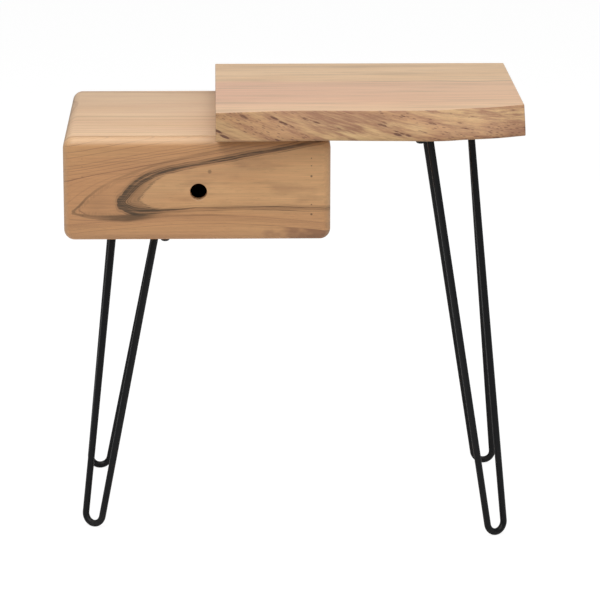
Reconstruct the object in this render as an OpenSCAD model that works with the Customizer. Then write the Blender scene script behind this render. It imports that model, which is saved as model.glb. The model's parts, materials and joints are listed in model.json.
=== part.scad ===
// Side table: a live-edge slab laid over one end of a rounded drawer box, on four hairpin legs.
// Millimetres, +Z up. The origin is on the floor at the centre of the footprint, and the drawer
// front faces -Y.

/* [Drawer box] */
// Width of the box
box_width = 347; // [300:1:420]
// Depth of the box, drawer front included
box_depth = 334; // [290:1:350]
// Height of the box
box_height = 136; // [112:1:175]
// Height of the box's underside above the floor
box_lift = 401; // [330:1:480]
// Thickness of the carcass boards
board = 18; // [16:0.5:22]
// Radius of the box's long edges and of the drawer front's corners
edge_radius = 14; // [13:0.5:15]
// Thickness of the back panel
back_panel_thickness = 9; // [6:0.5:12]
// Width of the rabbet that the back panel lies in
rabbet = 8; // [6:0.5:10]

/* [Slab] */
// Length of the slab, along the table
slab_length = 402; // [340:1:485]
// Depth of the slab, from the foremost point of its live edge to its back
slab_depth = 368; // [355:1:440]
// Thickness of the slab
slab_thickness = 37; // [30:1:45]
// How far the slab lies over the box
slab_overlap = 149; // [125:1:180]
// How far the live edge's foremost point stands ahead of the drawer front
slab_overhang = 28; // [24:1:36]

/* [Drawer] */
// Thickness of the drawer front
front_thickness = 18; // [16:0.5:22]
// Radius of the drawer front's outer arris
front_arris = 12; // [4:0.5:12.5]
// Thickness of the drawer's sides and back
drawer_board = 12; // [10:0.5:15]
// Thickness of the drawer's bottom panel
drawer_bottom_thickness = 5; // [3:0.5:8]
// Depth of the groove that holds the bottom panel
bottom_groove = 4; // [3:0.5:5]
// Height of the bottom panel above the sides' lower edge
bottom_panel_lift = 8; // [5:0.5:14]
// How far the drawer pulls out
drawer_travel = 220; // [120:1:230]
// Diameter of the finger hole
finger_hole_d = 22; // [16:0.5:35]
// How far the finger hole's centre lies below the middle of the front
finger_hole_drop = 3; // [0:0.5:12]
// How far the finger hole's centre lies to the right of the middle of the front
finger_hole_shift = 2; // [-60:0.5:60]
// Height of the wooden runners
runner_height = 12; // [8:0.5:18]
// How far the runners stand out from the carcass
runner_depth = 6; // [5:0.5:7]

/* [Legs] */
// Diameter of the leg rod
rod_d = 9; // [6:0.5:9]
// Distance between the two rods at the plate
rod_spacing = 67; // [56:1:80]
// Radius of the loop at the foot, to the rod's centre line
loop_radius = 13.5; // [10:0.5:16]
// Thickness of the leg plates
plate_thickness = 3; // [2:0.5:5]
// Depth of the leg plates, from the rods' line to the third screw
plate_depth = 42; // [34:1:50]
// How far the plate's outer screws lie beyond the rods
plate_screw_reach = 15.5; // [14:0.5:18]
// Radius of the plates' corners
plate_corner = 9; // [8:0.5:11]
// How far the front legs' planes are turned towards the table's corners, in degrees
front_leg_turn = 33; // [0:1:45]
// How far the back legs' planes are turned towards the table's corners, in degrees
back_leg_turn = 7; // [0:1:45]
// Distance of the left legs' tops from the table's left end
left_leg_inset = 90; // [84:1:105]
// Distance of the front right leg's top from the table's right end
front_right_leg_inset = 96; // [84:1:105]
// Distance of the back right leg's top from the table's right end
back_right_leg_inset = 87; // [84:1:105]
// Distance of the front left leg's top from the drawer front
front_left_leg_setback = 60; // [56:1:80]
// Distance of the front right leg's top from the live edge's foremost point
front_right_leg_setback = 54; // [50:1:80]
// Distance of the back legs' tops from the back of the box
back_leg_setback = 61; // [54:1:80]
// How far the left feet stand out sideways from the legs' tops
left_splay = 58; // [30:1:70]
// How far the right feet stand out sideways from the legs' tops
right_splay = 65; // [30:1:78]
// How far the left feet stand out to the front or back
left_rake = 26; // [0:1:40]
// How far the right feet stand out to the front or back
right_rake = 39; // [0:1:50]

/* [Clearances] */
// Gap between the closed drawer front and the carcass
front_gap = 0.8; // [0.5:0.1:2]
// Gap between the drawer front and the slab above it
front_top_gap = 0.8; // [0.5:0.1:2]
// Gap between each drawer side and the carcass
side_gap = 1; // [0.6:0.1:2]
// Gap under the drawer
drawer_floor_gap = 3; // [1:0.5:6]
// Gap above the drawer's sides
drawer_head_gap = 5; // [4:0.5:12]
// Gap behind the drawer
drawer_rear_gap = 10; // [4:1:20]
// Play of the runners in their grooves
runner_play = 0.5; // [0.3:0.1:1]
// Slack of screws, nails, dowels and the bottom panel in their holes and grooves
slack = 0.1; // [0.05:0.05:0.2]

/* [Hidden] */
$fn = 64;

// Colours
slab_wood = [0.82, 0.67, 0.51];
box_wood = [0.78, 0.60, 0.42];
inner_wood = [0.80, 0.66, 0.48];
black_steel = [0.09, 0.09, 0.10];
plated_steel = [0.62, 0.60, 0.55];

// A cut runs this far past the face that it opens
past = 1;

// Flats around the leg rod, and steps around its loop
rod_sides = 24;
loop_steps = 20;

// Outer limits
table_width = box_width + slab_length - slab_overlap;
box_x0 = -table_width / 2;
box_x1 = box_x0 + box_width;
slab_x1 = table_width / 2;
slab_x0 = slab_x1 - slab_length;
slab_y0 = -slab_depth / 2;
slab_y1 = slab_depth / 2;
front_y0 = slab_y0 + slab_overhang;
front_y1 = front_y0 + front_thickness;
carcass_y0 = front_y1 + front_gap;
carcass_y1 = front_y0 + box_depth;
box_z0 = box_lift;
box_z1 = box_lift + box_height;
slab_z1 = box_z1 + slab_thickness;

// Inside of the carcass
inner_x0 = box_x0 + board;
inner_x1 = box_x1 - board;
inner_z0 = box_z0 + board;
inner_z1 = box_z1 - board;
back_panel_y0 = carcass_y1 - back_panel_thickness;

// Drawer
drawer_x0 = inner_x0 + side_gap;
drawer_x1 = inner_x1 - side_gap;
drawer_z0 = inner_z0 + drawer_floor_gap;
drawer_z1 = inner_z1 - drawer_head_gap;
drawer_y1 = back_panel_y0 - drawer_rear_gap;
drawer_back_y0 = drawer_y1 - drawer_board;
bottom_z0 = drawer_z0 + bottom_panel_lift;
bottom_z1 = bottom_z0 + drawer_bottom_thickness;
front_z1 = box_z1 - front_top_gap;
finger_hole_x = (box_x0 + box_x1) / 2 + finger_hole_shift;
finger_hole_z = (box_z0 + box_z1) / 2 - finger_hole_drop;
finger_hole_break = 0.8;

// Runners: a strip on each carcass side that fits a groove in the drawer side
runner_setback = 7;
runner_end_gap = 1;
runner_y0 = carcass_y0 + runner_setback;
runner_y1 = back_panel_y0;
runner_z = (drawer_z0 + drawer_z1) / 2;
runner_screw_margin = 28;
runner_groove_depth = runner_depth - side_gap + runner_play;
runner_groove_height = runner_height + 2 * runner_play;

// The stop hangs from the carcass top and meets the drawer's back
stop_width = 40;
stop_length = 20;
stop_catch = 8;
stop_gap = 0.5;
stop_drop = drawer_head_gap + stop_catch;
stop_y1 = drawer_back_y0 - drawer_travel - stop_gap;
stop_y = stop_y1 - stop_length / 2;

// Dowels in the carcass corners
dowel_d = 8;
dowel_in_board = 11;
dowel_in_side = 17;
dowel_margin = 38;
dowel_count = 3;

// Fasteners: shank diameter, head diameter, length
slab_screw = [5, 9.5, board + 24];
stop_screw = [4, 7.6, stop_drop + board / 2];
runner_screw = [3, 5.6, runner_depth + board / 2];
nail_d = 1.8;
back_nail_length = 22;
front_nail_length = front_thickness + 22;
side_nail_length = drawer_board + 20;
leg_screw_d = 4.5;
leg_screw_head_d = 12.5;
leg_screw_head_height = 4.5;
leg_screw_bite = 13;

// Where the nails stand up a drawer corner, as shares of the side's height; none meets the runner
front_nail_shares = [0.15, 0.29, 0.7, 0.85, 0.96];

// Where the slab screws stand, from the slab's end, the box's end and the carcass's front and back
slab_screw_inset = 34;
slab_screw_setback = 60;

// Live edge, as fractions of the slab's length and millimetres: how far the edge falls back from its
// foremost point, and how much further back its top lies than its foot
live_edge_line = [
    [0, 3], [0.2, 4.5], [0.36, 7], [0.5, 4], [0.62, 2], [0.68, 0], [0.74, 2], [0.8, 9], [0.9, 18], [1, 35]
];
live_edge_slant = [[0, 5], [0.09, 10], [0.22, 17], [0.42, 15], [0.6, 18], [0.75, 24], [1, 25]];
// Heights of the live edge's rows, as fractions of the thickness, and the arris under it
live_edge_rows = [0, 0.05, 0.25, 0.5, 0.75, 0.95, 1];
live_edge_bulge = 1.4;
live_edge_arris = 1.5;
live_edge_steps = 50;

// The legs: name, plate centre, height of the surface above, side (-1 left) and row (-1 front)
LEGS = [
    [[box_x0 + left_leg_inset, front_y0 + front_left_leg_setback, box_z0], -1, -1],
    [[slab_x1 - front_right_leg_inset, slab_y0 + front_right_leg_setback, box_z1], 1, -1],
    [[box_x0 + left_leg_inset, carcass_y1 - back_leg_setback, box_z0], -1, 1],
    [[slab_x1 - back_right_leg_inset, carcass_y1 - back_leg_setback, box_z1], 1, 1]
];
FRONT_LEFT = 0;
FRONT_RIGHT = 1;
BACK_LEFT = 2;
BACK_RIGHT = 3;

// ---- Shapes that repeat ----

// A box between two opposite corners
module block(low, high) {
    translate(low) cube(high - low);
}

// A countersunk screw: its flat head lies at the origin and it runs along +Z
module countersunk_screw(screw, play = 0) {
    shank_d = screw[0] + 2 * play;
    head_d = screw[1] + 2 * play;
    cylinder(d1 = head_d, d2 = shank_d, h = (screw[1] - screw[0]) / 2 + play);
    cylinder(d = shank_d, h = screw[2] + play);
}

// A plain round nail or pilot hole from the origin along +Z
module nail(length, play = 0) {
    cylinder(d = nail_d + 2 * play, h = length + play);
}

// Turn a shape that runs along +Z to run along another axis
module along_x() rotate([0, 90, 0]) children();
module along_minus_x() rotate([0, -90, 0]) children();
module along_y() rotate([-90, 0, 0]) children();
module along_minus_y() rotate([90, 0, 0]) children();

// Evenly spread places between two ends
function spread(first, last, count) = [for (i = [0 : count - 1]) first + (last - first) * i / (count - 1)];

// ---- Smooth curve through [place, value] points ----

function point_at(points, i) = points[max(0, min(len(points) - 1, i))];
function slope_at(points, i) =
    let (before = point_at(points, i - 1), after = point_at(points, i + 1))
    (after[1] - before[1]) / (after[0] - before[0]);
function segment_of(points, x, i = 0) =
    i >= len(points) - 2 || x < points[i + 1][0] ? i : segment_of(points, x, i + 1);
function curve(points, x) =
    let (
        i = segment_of(points, x),
        span = points[i + 1][0] - points[i][0],
        t = (x - points[i][0]) / span
    )
    points[i][1] * (2 * t * t * t - 3 * t * t + 1)
    + points[i + 1][1] * (3 * t * t - 2 * t * t * t)
    + slope_at(points, i) * span * (t * t * t - 2 * t * t + t)
    + slope_at(points, i + 1) * span * (t * t * t - t * t);

// ---- Slab ----

// Where the live edge lies, at a fraction of the length and a fraction of the thickness
function live_edge_y(along, up) =
    let (arris_top = live_edge_rows[1], rise = max(0, (up - arris_top) / (1 - arris_top)))
    slab_y0 + curve(live_edge_line, along)
    + curve(live_edge_slant, along) * pow(rise, live_edge_bulge)
    + (up == 0 ? live_edge_arris : 0);

module slab_body() {
    rows = len(live_edge_rows);
    ring = rows + 2;
    points = [
        for (step = [0 : live_edge_steps])
            let (along = step / live_edge_steps, x = slab_x0 + slab_length * along)
            each concat(
                [[x, slab_y1, slab_z1], [x, slab_y1, box_z1]],
                [for (up = live_edge_rows) [x, live_edge_y(along, up), box_z1 + slab_thickness * up]]
            )
    ];
    skin = [
        for (step = [0 : live_edge_steps - 1], i = [0 : ring - 1])
            let (a = step * ring + i, b = step * ring + (i + 1) % ring)
            each [[a, b, b + ring], [a, b + ring, a + ring]]
    ];
    end = live_edge_steps * ring;
    caps = [[for (i = [ring - 1 : -1 : 0]) i], [for (i = [0 : ring - 1]) end + i]];
    polyhedron(points = points, faces = concat(skin, caps), convexity = 4);
}

module live_edge_slab() {
    color(slab_wood)
    difference() {
        slab_body();
        slab_screws_in_place(slack);
        for (i = [FRONT_RIGHT, BACK_RIGHT]) leg_screws_in_place(LEGS[i], slack);
    }
}

function slab_screw_places() = [
    for (x = [slab_x0 + slab_screw_inset, inner_x1 - slab_screw_inset])
        for (y = [carcass_y0 + slab_screw_setback, carcass_y1 - slab_screw_setback])
            [x, y, inner_z1]
];

module slab_screws_in_place(play = 0) {
    for (place = slab_screw_places()) translate(place) countersunk_screw(slab_screw, play);
}

module slab_screws() {
    color(plated_steel) slab_screws_in_place();
}

// ---- Carcass ----

// The box's outline, seen from the front, between two heights
module box_outline(z0, z1) {
    intersection() {
        union() {
            for (x = [box_x0 + edge_radius, box_x1 - edge_radius])
                for (z = [box_z0 + edge_radius, box_z1 - edge_radius])
                    translate([x, z]) circle(r = edge_radius);
            translate([box_x0 + edge_radius, box_z0]) square([box_width - 2 * edge_radius, box_height]);
            translate([box_x0, box_z0 + edge_radius]) square([box_width, box_height - 2 * edge_radius]);
        }
        translate([box_x0, z0]) square([box_width, z1 - z0]);
    }
}

// A board that runs from the front of the carcass to its back, between two heights
module outer_board(z0, z1) {
    translate([0, carcass_y1, 0])
    rotate([90, 0, 0])
    linear_extrude(carcass_y1 - carcass_y0) box_outline(z0, z1);
}

module back_panel_seat() {
    block(
        [inner_x0 - rabbet, back_panel_y0, inner_z0 - rabbet],
        [inner_x1 + rabbet, carcass_y1 + past, inner_z1 + rabbet]
    );
}

// Dowels that stand in the four long corners, between the sides and the boards above and below
module carcass_dowels_in_place(play = 0) {
    length = dowel_in_board + dowel_in_side;
    for (x = [box_x0 + board / 2, box_x1 - board / 2])
        for (z = [inner_z0 - dowel_in_board, inner_z1 - dowel_in_side])
            for (y = spread(carcass_y0 + dowel_margin, back_panel_y0 - dowel_margin, dowel_count))
                translate([x, y, z - play]) cylinder(d = dowel_d + 2 * play, h = length + 2 * play);
}

module carcass_dowels() {
    color(inner_wood) carcass_dowels_in_place();
}

function back_nail_places() =
    let (
        xs = spread(inner_x0 - rabbet / 2, inner_x1 + rabbet / 2, 4),
        zs = [inner_z0 - rabbet / 2, inner_z1 + rabbet / 2]
    )
    [for (x = xs, z = zs) [x, carcass_y1, z]];

module back_panel_nails_in_place(play = 0) {
    for (place = back_nail_places()) translate(place) along_minus_y() nail(back_nail_length, play);
}

module back_panel_nails() {
    color(plated_steel) back_panel_nails_in_place();
}

module carcass_top() {
    color(box_wood)
    difference() {
        outer_board(inner_z1, box_z1);
        back_panel_seat();
        carcass_dowels_in_place(slack);
        back_panel_nails_in_place(slack);
        slab_screws_in_place(slack);
        drawer_stop_screw_in_place(slack);
    }
}

module carcass_bottom() {
    color(box_wood)
    difference() {
        outer_board(box_z0, inner_z0);
        back_panel_seat();
        carcass_dowels_in_place(slack);
        back_panel_nails_in_place(slack);
        for (i = [FRONT_LEFT, BACK_LEFT]) leg_screws_in_place(LEGS[i], slack);
    }
}

module carcass_side(x0, x1) {
    color(box_wood)
    difference() {
        block([x0, carcass_y0, inner_z0], [x1, carcass_y1, inner_z1]);
        back_panel_seat();
        carcass_dowels_in_place(slack);
        runner_screws_in_place(slack);
    }
}

module carcass_left_side() carcass_side(box_x0, inner_x0);
module carcass_right_side() carcass_side(inner_x1, box_x1);

module back_panel() {
    color(inner_wood)
    difference() {
        block(
            [inner_x0 - rabbet, back_panel_y0, inner_z0 - rabbet],
            [inner_x1 + rabbet, carcass_y1, inner_z1 + rabbet]
        );
        back_panel_nails_in_place(slack);
    }
}

// ---- Runners and stop ----

module runner_screws_on_side(side, play = 0) {
    ends = [runner_y0 + runner_screw_margin, runner_y1 - runner_screw_margin];
    for (y = spread(ends[0], ends[1], 3)) {
        if (side < 0)
            translate([inner_x0 + runner_depth, y, runner_z])
            along_minus_x() countersunk_screw(runner_screw, play);
        else
            translate([inner_x1 - runner_depth, y, runner_z])
            along_x() countersunk_screw(runner_screw, play);
    }
}

module runner_screws_in_place(play = 0) {
    for (side = [-1, 1]) runner_screws_on_side(side, play);
}

module runner_screws() {
    color(plated_steel) runner_screws_in_place();
}

module runner(x0, x1) {
    color(inner_wood)
    difference() {
        block([x0, runner_y0, runner_z - runner_height / 2], [x1, runner_y1, runner_z + runner_height / 2]);
        runner_screws_in_place(slack);
    }
}

module left_runner() runner(inner_x0, inner_x0 + runner_depth);
module right_runner() runner(inner_x1 - runner_depth, inner_x1);

module drawer_stop_screw_in_place(play = 0) {
    translate([finger_hole_x, stop_y, inner_z1 - stop_drop]) countersunk_screw(stop_screw, play);
}

module drawer_stop_screw() {
    color(plated_steel) drawer_stop_screw_in_place();
}

module drawer_stop() {
    color(inner_wood)
    difference() {
        block(
            [finger_hole_x - stop_width / 2, stop_y1 - stop_length, inner_z1 - stop_drop],
            [finger_hole_x + stop_width / 2, stop_y1, inner_z1]
        );
        drawer_stop_screw_in_place(slack);
    }
}

// ---- Legs ----

function side_of(leg) = leg[1];
function row_of(leg) = leg[2];
// Unit vector along the two rods' tops, pointing to the table's inner end
function rod_line(leg) =
    let (turn = row_of(leg) < 0 ? front_leg_turn : back_leg_turn)
    [-side_of(leg) * cos(turn), row_of(leg) * sin(turn), 0];
// Unit vector square to it, pointing to the middle of the table
function inward(leg) =
    let (line = rod_line(leg))
    [-side_of(leg) * abs(line[1]), -row_of(leg) * abs(line[0]), 0];
function splay_of(leg) = side_of(leg) * (side_of(leg) < 0 ? left_splay : right_splay);
function rake_of(leg) = row_of(leg) * (side_of(leg) < 0 ? left_rake : right_rake);

// The outline of three circles of one radius and all that lies between them. The straight edges
// stand a hair inside the circles, so that they cross them instead of only touching.
edge_inset = 0.01;
module rounded_triangle(corners, r) {
    edges = [
        for (i = [0 : 2])
            let (
                a = corners[i],
                b = corners[(i + 1) % 3],
                away = [b[1] - a[1], a[0] - b[0]] / norm(b - a) * (r - edge_inset)
            )
            each [a + away, b + away]
    ];
    polygon(edges);
    for (corner = corners) translate(corner) circle(r = r);
}

// The three screws of a leg plate, in the plate's own plane: along the rods' line, then inwards
plate_reach = rod_spacing / 2 + plate_screw_reach;
plate_corners = [[-plate_reach, 0], [plate_reach, 0], [0, plate_depth]];

module on_plate(leg) {
    line = rod_line(leg);
    inner = inward(leg);
    centre = leg[0];
    multmatrix([
        [line[0], inner[0], 0, centre[0]],
        [line[1], inner[1], 0, centre[1]],
        [0, 0, 1, centre[2]],
        [0, 0, 0, 1]
    ])
    children();
}

module leg_plate(leg) {
    color(black_steel)
    difference() {
        on_plate(leg)
        translate([0, 0, -plate_thickness])
        linear_extrude(plate_thickness) rounded_triangle(plate_corners, plate_corner);
        leg_screws_in_place(leg, slack);
    }
}

// A domed screw: its head's seat lies at the origin and its shank runs along +Z
module domed_screw(play) {
    head_r = leg_screw_head_d / 2;
    dome_r = (head_r * head_r + leg_screw_head_height * leg_screw_head_height) / (2 * leg_screw_head_height);
    cylinder(d = leg_screw_d + 2 * play, h = plate_thickness + leg_screw_bite + play);
    if (play == 0)
        intersection() {
            translate([0, 0, dome_r - leg_screw_head_height]) sphere(r = dome_r);
            translate([0, 0, -leg_screw_head_height]) cylinder(r = head_r, h = leg_screw_head_height);
        }
}

module leg_screws_in_place(leg, play = 0) {
    for (corner = plate_corners)
        on_plate(leg) translate([corner[0], corner[1], -plate_thickness]) domed_screw(play);
}

module left_leg_screws() {
    color(black_steel) for (i = [FRONT_LEFT, BACK_LEFT]) leg_screws_in_place(LEGS[i]);
}

module right_leg_screws() {
    color(black_steel) for (i = [FRONT_RIGHT, BACK_RIGHT]) leg_screws_in_place(LEGS[i]);
}

// One rod bent into a long V with a loop at the foot. Its centre line is drawn flat, with x along the
// rods' line and y down the leg, and each ring around it is then stood up in the leg's leaning plane.

// The direction in which a rod leaves its top to run just past the loop's circle, on one side of it
function rod_heading(run, side) = atan2(run[1], run[0]) - side * asin(loop_radius / norm(run));

// The centre line as [x, y, direction] stations, down the inner rod, round the loop and up the other
function hairpin_line(loop_x, loop_y) =
    let (
        half = rod_spacing / 2,
        inner = rod_heading([loop_x - half, loop_y], 1),
        outer = rod_heading([loop_x + half, loop_y], -1),
        first = inner - 90,
        last = outer + 90
    )
    concat(
        [[half, 0, inner]],
        [
            for (step = [0 : loop_steps])
                let (angle = first + (last - first) * step / loop_steps)
                [loop_x + loop_radius * cos(angle), loop_y + loop_radius * sin(angle), angle + 90]
        ],
        [[-half, 0, outer + 180]]
    );

// A ring of points around one station. At a rod's top it is slid along the rod to end level.
function rod_ring(station, line, down, across, top, level) =
    let (
        heading = line * cos(station[2]) + down * sin(station[2]),
        outwards = line * sin(station[2]) - down * cos(station[2]),
        centre = top + line * station[0] + down * station[1]
    )
    [
        for (k = [0 : rod_sides - 1])
            let (
                turn = 360 * k / rod_sides,
                point = centre + rod_d / 2 * (outwards * cos(turn) + across * sin(turn)),
                slide = level ? (top[2] - point[2]) / heading[2] : 0
            )
            point + heading * slide
    ];

module hairpin(leg) {
    line = rod_line(leg);
    top = leg[0] - [0, 0, plate_thickness];
    foot = [top[0] + splay_of(leg), top[1] + rake_of(leg), rod_d / 2];
    lean = foot - top;
    loop_x = lean * line;
    fall = lean - loop_x * line;
    down = fall / norm(fall);
    across = cross(line, down);
    stations = hairpin_line(loop_x, norm(fall) - loop_radius);
    end = len(stations) - 1;
    points = [
        for (i = [0 : end]) each rod_ring(stations[i], line, down, across, top, i == 0 || i == end)
    ];
    skin = [
        for (i = [0 : end - 1], k = [0 : rod_sides - 1])
            let (a = i * rod_sides + k, b = i * rod_sides + (k + 1) % rod_sides)
            each [[a, b, b + rod_sides], [a, b + rod_sides, a + rod_sides]]
    ];
    caps = [
        [for (k = [rod_sides - 1 : -1 : 0]) k],
        [for (k = [0 : rod_sides - 1]) end * rod_sides + k]
    ];
    color(black_steel) polyhedron(points = points, faces = concat(skin, caps), convexity = 6);
}

module front_left_leg() hairpin(LEGS[FRONT_LEFT]);
module front_right_leg() hairpin(LEGS[FRONT_RIGHT]);
module back_left_leg() hairpin(LEGS[BACK_LEFT]);
module back_right_leg() hairpin(LEGS[BACK_RIGHT]);
module front_left_leg_plate() leg_plate(LEGS[FRONT_LEFT]);
module front_right_leg_plate() leg_plate(LEGS[FRONT_RIGHT]);
module back_left_leg_plate() leg_plate(LEGS[BACK_LEFT]);
module back_right_leg_plate() leg_plate(LEGS[BACK_RIGHT]);

// ---- Drawer ----

// Section of a board whose outer face lies on y = 0, with both outer arrises rounded
module rounded_section(width) {
    translate([front_arris, 0]) square([width - 2 * front_arris, front_thickness]);
    translate([0, front_arris]) square([width, front_thickness - front_arris]);
    intersection() {
        for (x = [front_arris, width - front_arris]) translate([x, front_arris]) circle(r = front_arris);
        square([width, front_thickness]);
    }
}

// A quarter of the rounded section, turned about the corner's own axis
module corner_section() {
    intersection() {
        translate([-edge_radius, 0]) rounded_section(2 * edge_radius);
        square([edge_radius, front_thickness]);
    }
}

module front_body() {
    width = box_width;
    height = front_z1 - box_z0;
    // upright middle, then the level middle, then the four corners
    translate([box_x0, front_y0, box_z0 + edge_radius])
    linear_extrude(height - 2 * edge_radius) rounded_section(width);
    translate([box_x0 + edge_radius, front_y0, front_z1])
    rotate([0, 90, 0])
    linear_extrude(width - 2 * edge_radius) rounded_section(height);
    for (x = [box_x0 + edge_radius, box_x1 - edge_radius])
        for (z = [box_z0 + edge_radius, front_z1 - edge_radius])
            translate([x, front_y0, z]) along_y() rotate_extrude() corner_section();
}

module bottom_groove_cut() {
    block(
        [
            drawer_x0 + drawer_board - bottom_groove,
            front_y1 - bottom_groove,
            bottom_z0
        ],
        [
            drawer_x1 - drawer_board + bottom_groove,
            drawer_y1 + past,
            bottom_z1 + slack
        ]
    );
}

module drawer_front_nails_in_place(play = 0) {
    for (x = [drawer_x0 + drawer_board / 2, drawer_x1 - drawer_board / 2])
        for (share = front_nail_shares)
            translate([x, front_y0, drawer_z0 + share * (drawer_z1 - drawer_z0)])
                along_y() nail(front_nail_length, play);
}

module drawer_front_nails() {
    color(plated_steel) drawer_front_nails_in_place();
}

module drawer_back_nails_in_place(play = 0) {
    y = drawer_back_y0 + drawer_board / 2;
    for (z = [bottom_z1 + 9, drawer_z1 - 9]) {
        translate([drawer_x0, y, z]) along_x() nail(side_nail_length, play);
        translate([drawer_x1, y, z]) along_minus_x() nail(side_nail_length, play);
    }
}

module drawer_back_nails() {
    color(plated_steel) drawer_back_nails_in_place();
}

module drawer_front() {
    color(box_wood)
    difference() {
        front_body();
        translate([finger_hole_x, front_y0 - past, finger_hole_z])
        along_y() cylinder(d = finger_hole_d, h = front_thickness + 2 * past);
        translate([finger_hole_x, front_y0, finger_hole_z])
        along_y()
        cylinder(d1 = finger_hole_d + 2 * finger_hole_break, d2 = finger_hole_d, h = finger_hole_break);
        bottom_groove_cut();
        drawer_front_nails_in_place(slack);
    }
}

module runner_groove(x0, x1) {
    block(
        [x0, runner_y0 - runner_end_gap, runner_z - runner_groove_height / 2],
        [x1, drawer_y1 + past, runner_z + runner_groove_height / 2]
    );
}

module drawer_side(x0, x1) {
    color(inner_wood)
    difference() {
        block([x0, front_y1, drawer_z0], [x1, drawer_y1, drawer_z1]);
        bottom_groove_cut();
        runner_groove(drawer_x0 - past, drawer_x0 + runner_groove_depth);
        runner_groove(drawer_x1 - runner_groove_depth, drawer_x1 + past);
        drawer_front_nails_in_place(slack);
        drawer_back_nails_in_place(slack);
    }
}

module drawer_left_side() drawer_side(drawer_x0, drawer_x0 + drawer_board);
module drawer_right_side() drawer_side(drawer_x1 - drawer_board, drawer_x1);

module drawer_back() {
    color(inner_wood)
    difference() {
        block(
            [drawer_x0 + drawer_board, drawer_back_y0, bottom_z1 + slack],
            [drawer_x1 - drawer_board, drawer_y1, drawer_z1]
        );
        drawer_back_nails_in_place(slack);
    }
}

module drawer_bottom() {
    color(inner_wood)
    block(
        [
            drawer_x0 + drawer_board - bottom_groove + slack,
            front_y1 - bottom_groove + slack,
            bottom_z0
        ],
        [
            drawer_x1 - drawer_board + bottom_groove - slack,
            drawer_y1,
            bottom_z1
        ]
    );
}

live_edge_slab();
carcass_top();
carcass_bottom();
carcass_left_side();
carcass_right_side();
back_panel();
carcass_dowels();
back_panel_nails();
left_runner();
right_runner();
runner_screws();
drawer_stop();
drawer_stop_screw();
slab_screws();
front_left_leg();
front_right_leg();
back_left_leg();
back_right_leg();
front_left_leg_plate();
front_right_leg_plate();
back_left_leg_plate();
back_right_leg_plate();
left_leg_screws();
right_leg_screws();
drawer_front();
drawer_left_side();
drawer_right_side();
drawer_back();
drawer_bottom();
drawer_front_nails();
drawer_back_nails();
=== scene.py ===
"""The finished look of a side table with a live-edge slab, a rounded drawer box and hairpin legs.

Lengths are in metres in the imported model's frame: +X runs to the slab's free end, +Z is up, and the
drawer opens along -Y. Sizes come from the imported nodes, and those that only the look needs are fields
of the classes below.
"""

from __future__ import annotations

import json
import logging
import math
from collections.abc import Callable, Iterator
from contextlib import contextmanager
from dataclasses import dataclass, field
from enum import Enum

import bmesh
import bpy
from mathutils import Matrix, Vector, noise


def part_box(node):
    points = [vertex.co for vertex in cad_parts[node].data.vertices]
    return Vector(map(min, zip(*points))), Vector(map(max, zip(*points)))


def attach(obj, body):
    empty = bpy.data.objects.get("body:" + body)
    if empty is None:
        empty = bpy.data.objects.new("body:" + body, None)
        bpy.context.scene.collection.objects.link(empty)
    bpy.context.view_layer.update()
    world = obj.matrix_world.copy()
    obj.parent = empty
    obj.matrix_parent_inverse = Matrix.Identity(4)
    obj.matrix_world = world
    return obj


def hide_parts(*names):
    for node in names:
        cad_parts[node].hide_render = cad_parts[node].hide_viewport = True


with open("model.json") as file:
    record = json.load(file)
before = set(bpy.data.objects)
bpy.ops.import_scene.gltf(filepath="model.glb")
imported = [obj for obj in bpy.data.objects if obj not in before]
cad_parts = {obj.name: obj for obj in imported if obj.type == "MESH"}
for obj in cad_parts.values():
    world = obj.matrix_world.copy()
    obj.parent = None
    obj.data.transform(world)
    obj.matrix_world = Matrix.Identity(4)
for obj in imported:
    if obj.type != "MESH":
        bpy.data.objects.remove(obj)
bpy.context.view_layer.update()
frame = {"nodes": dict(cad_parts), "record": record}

LOG = logging.getLogger("side_table")

Colour = tuple[float, float, float]
Span = tuple[Vector, Vector]
EdgeTest = Callable[[Vector, Vector], bool]

TABLE = "table"
DRAWER = "drawer"
MILLIMETRE = 0.001


# Shader maths

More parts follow.
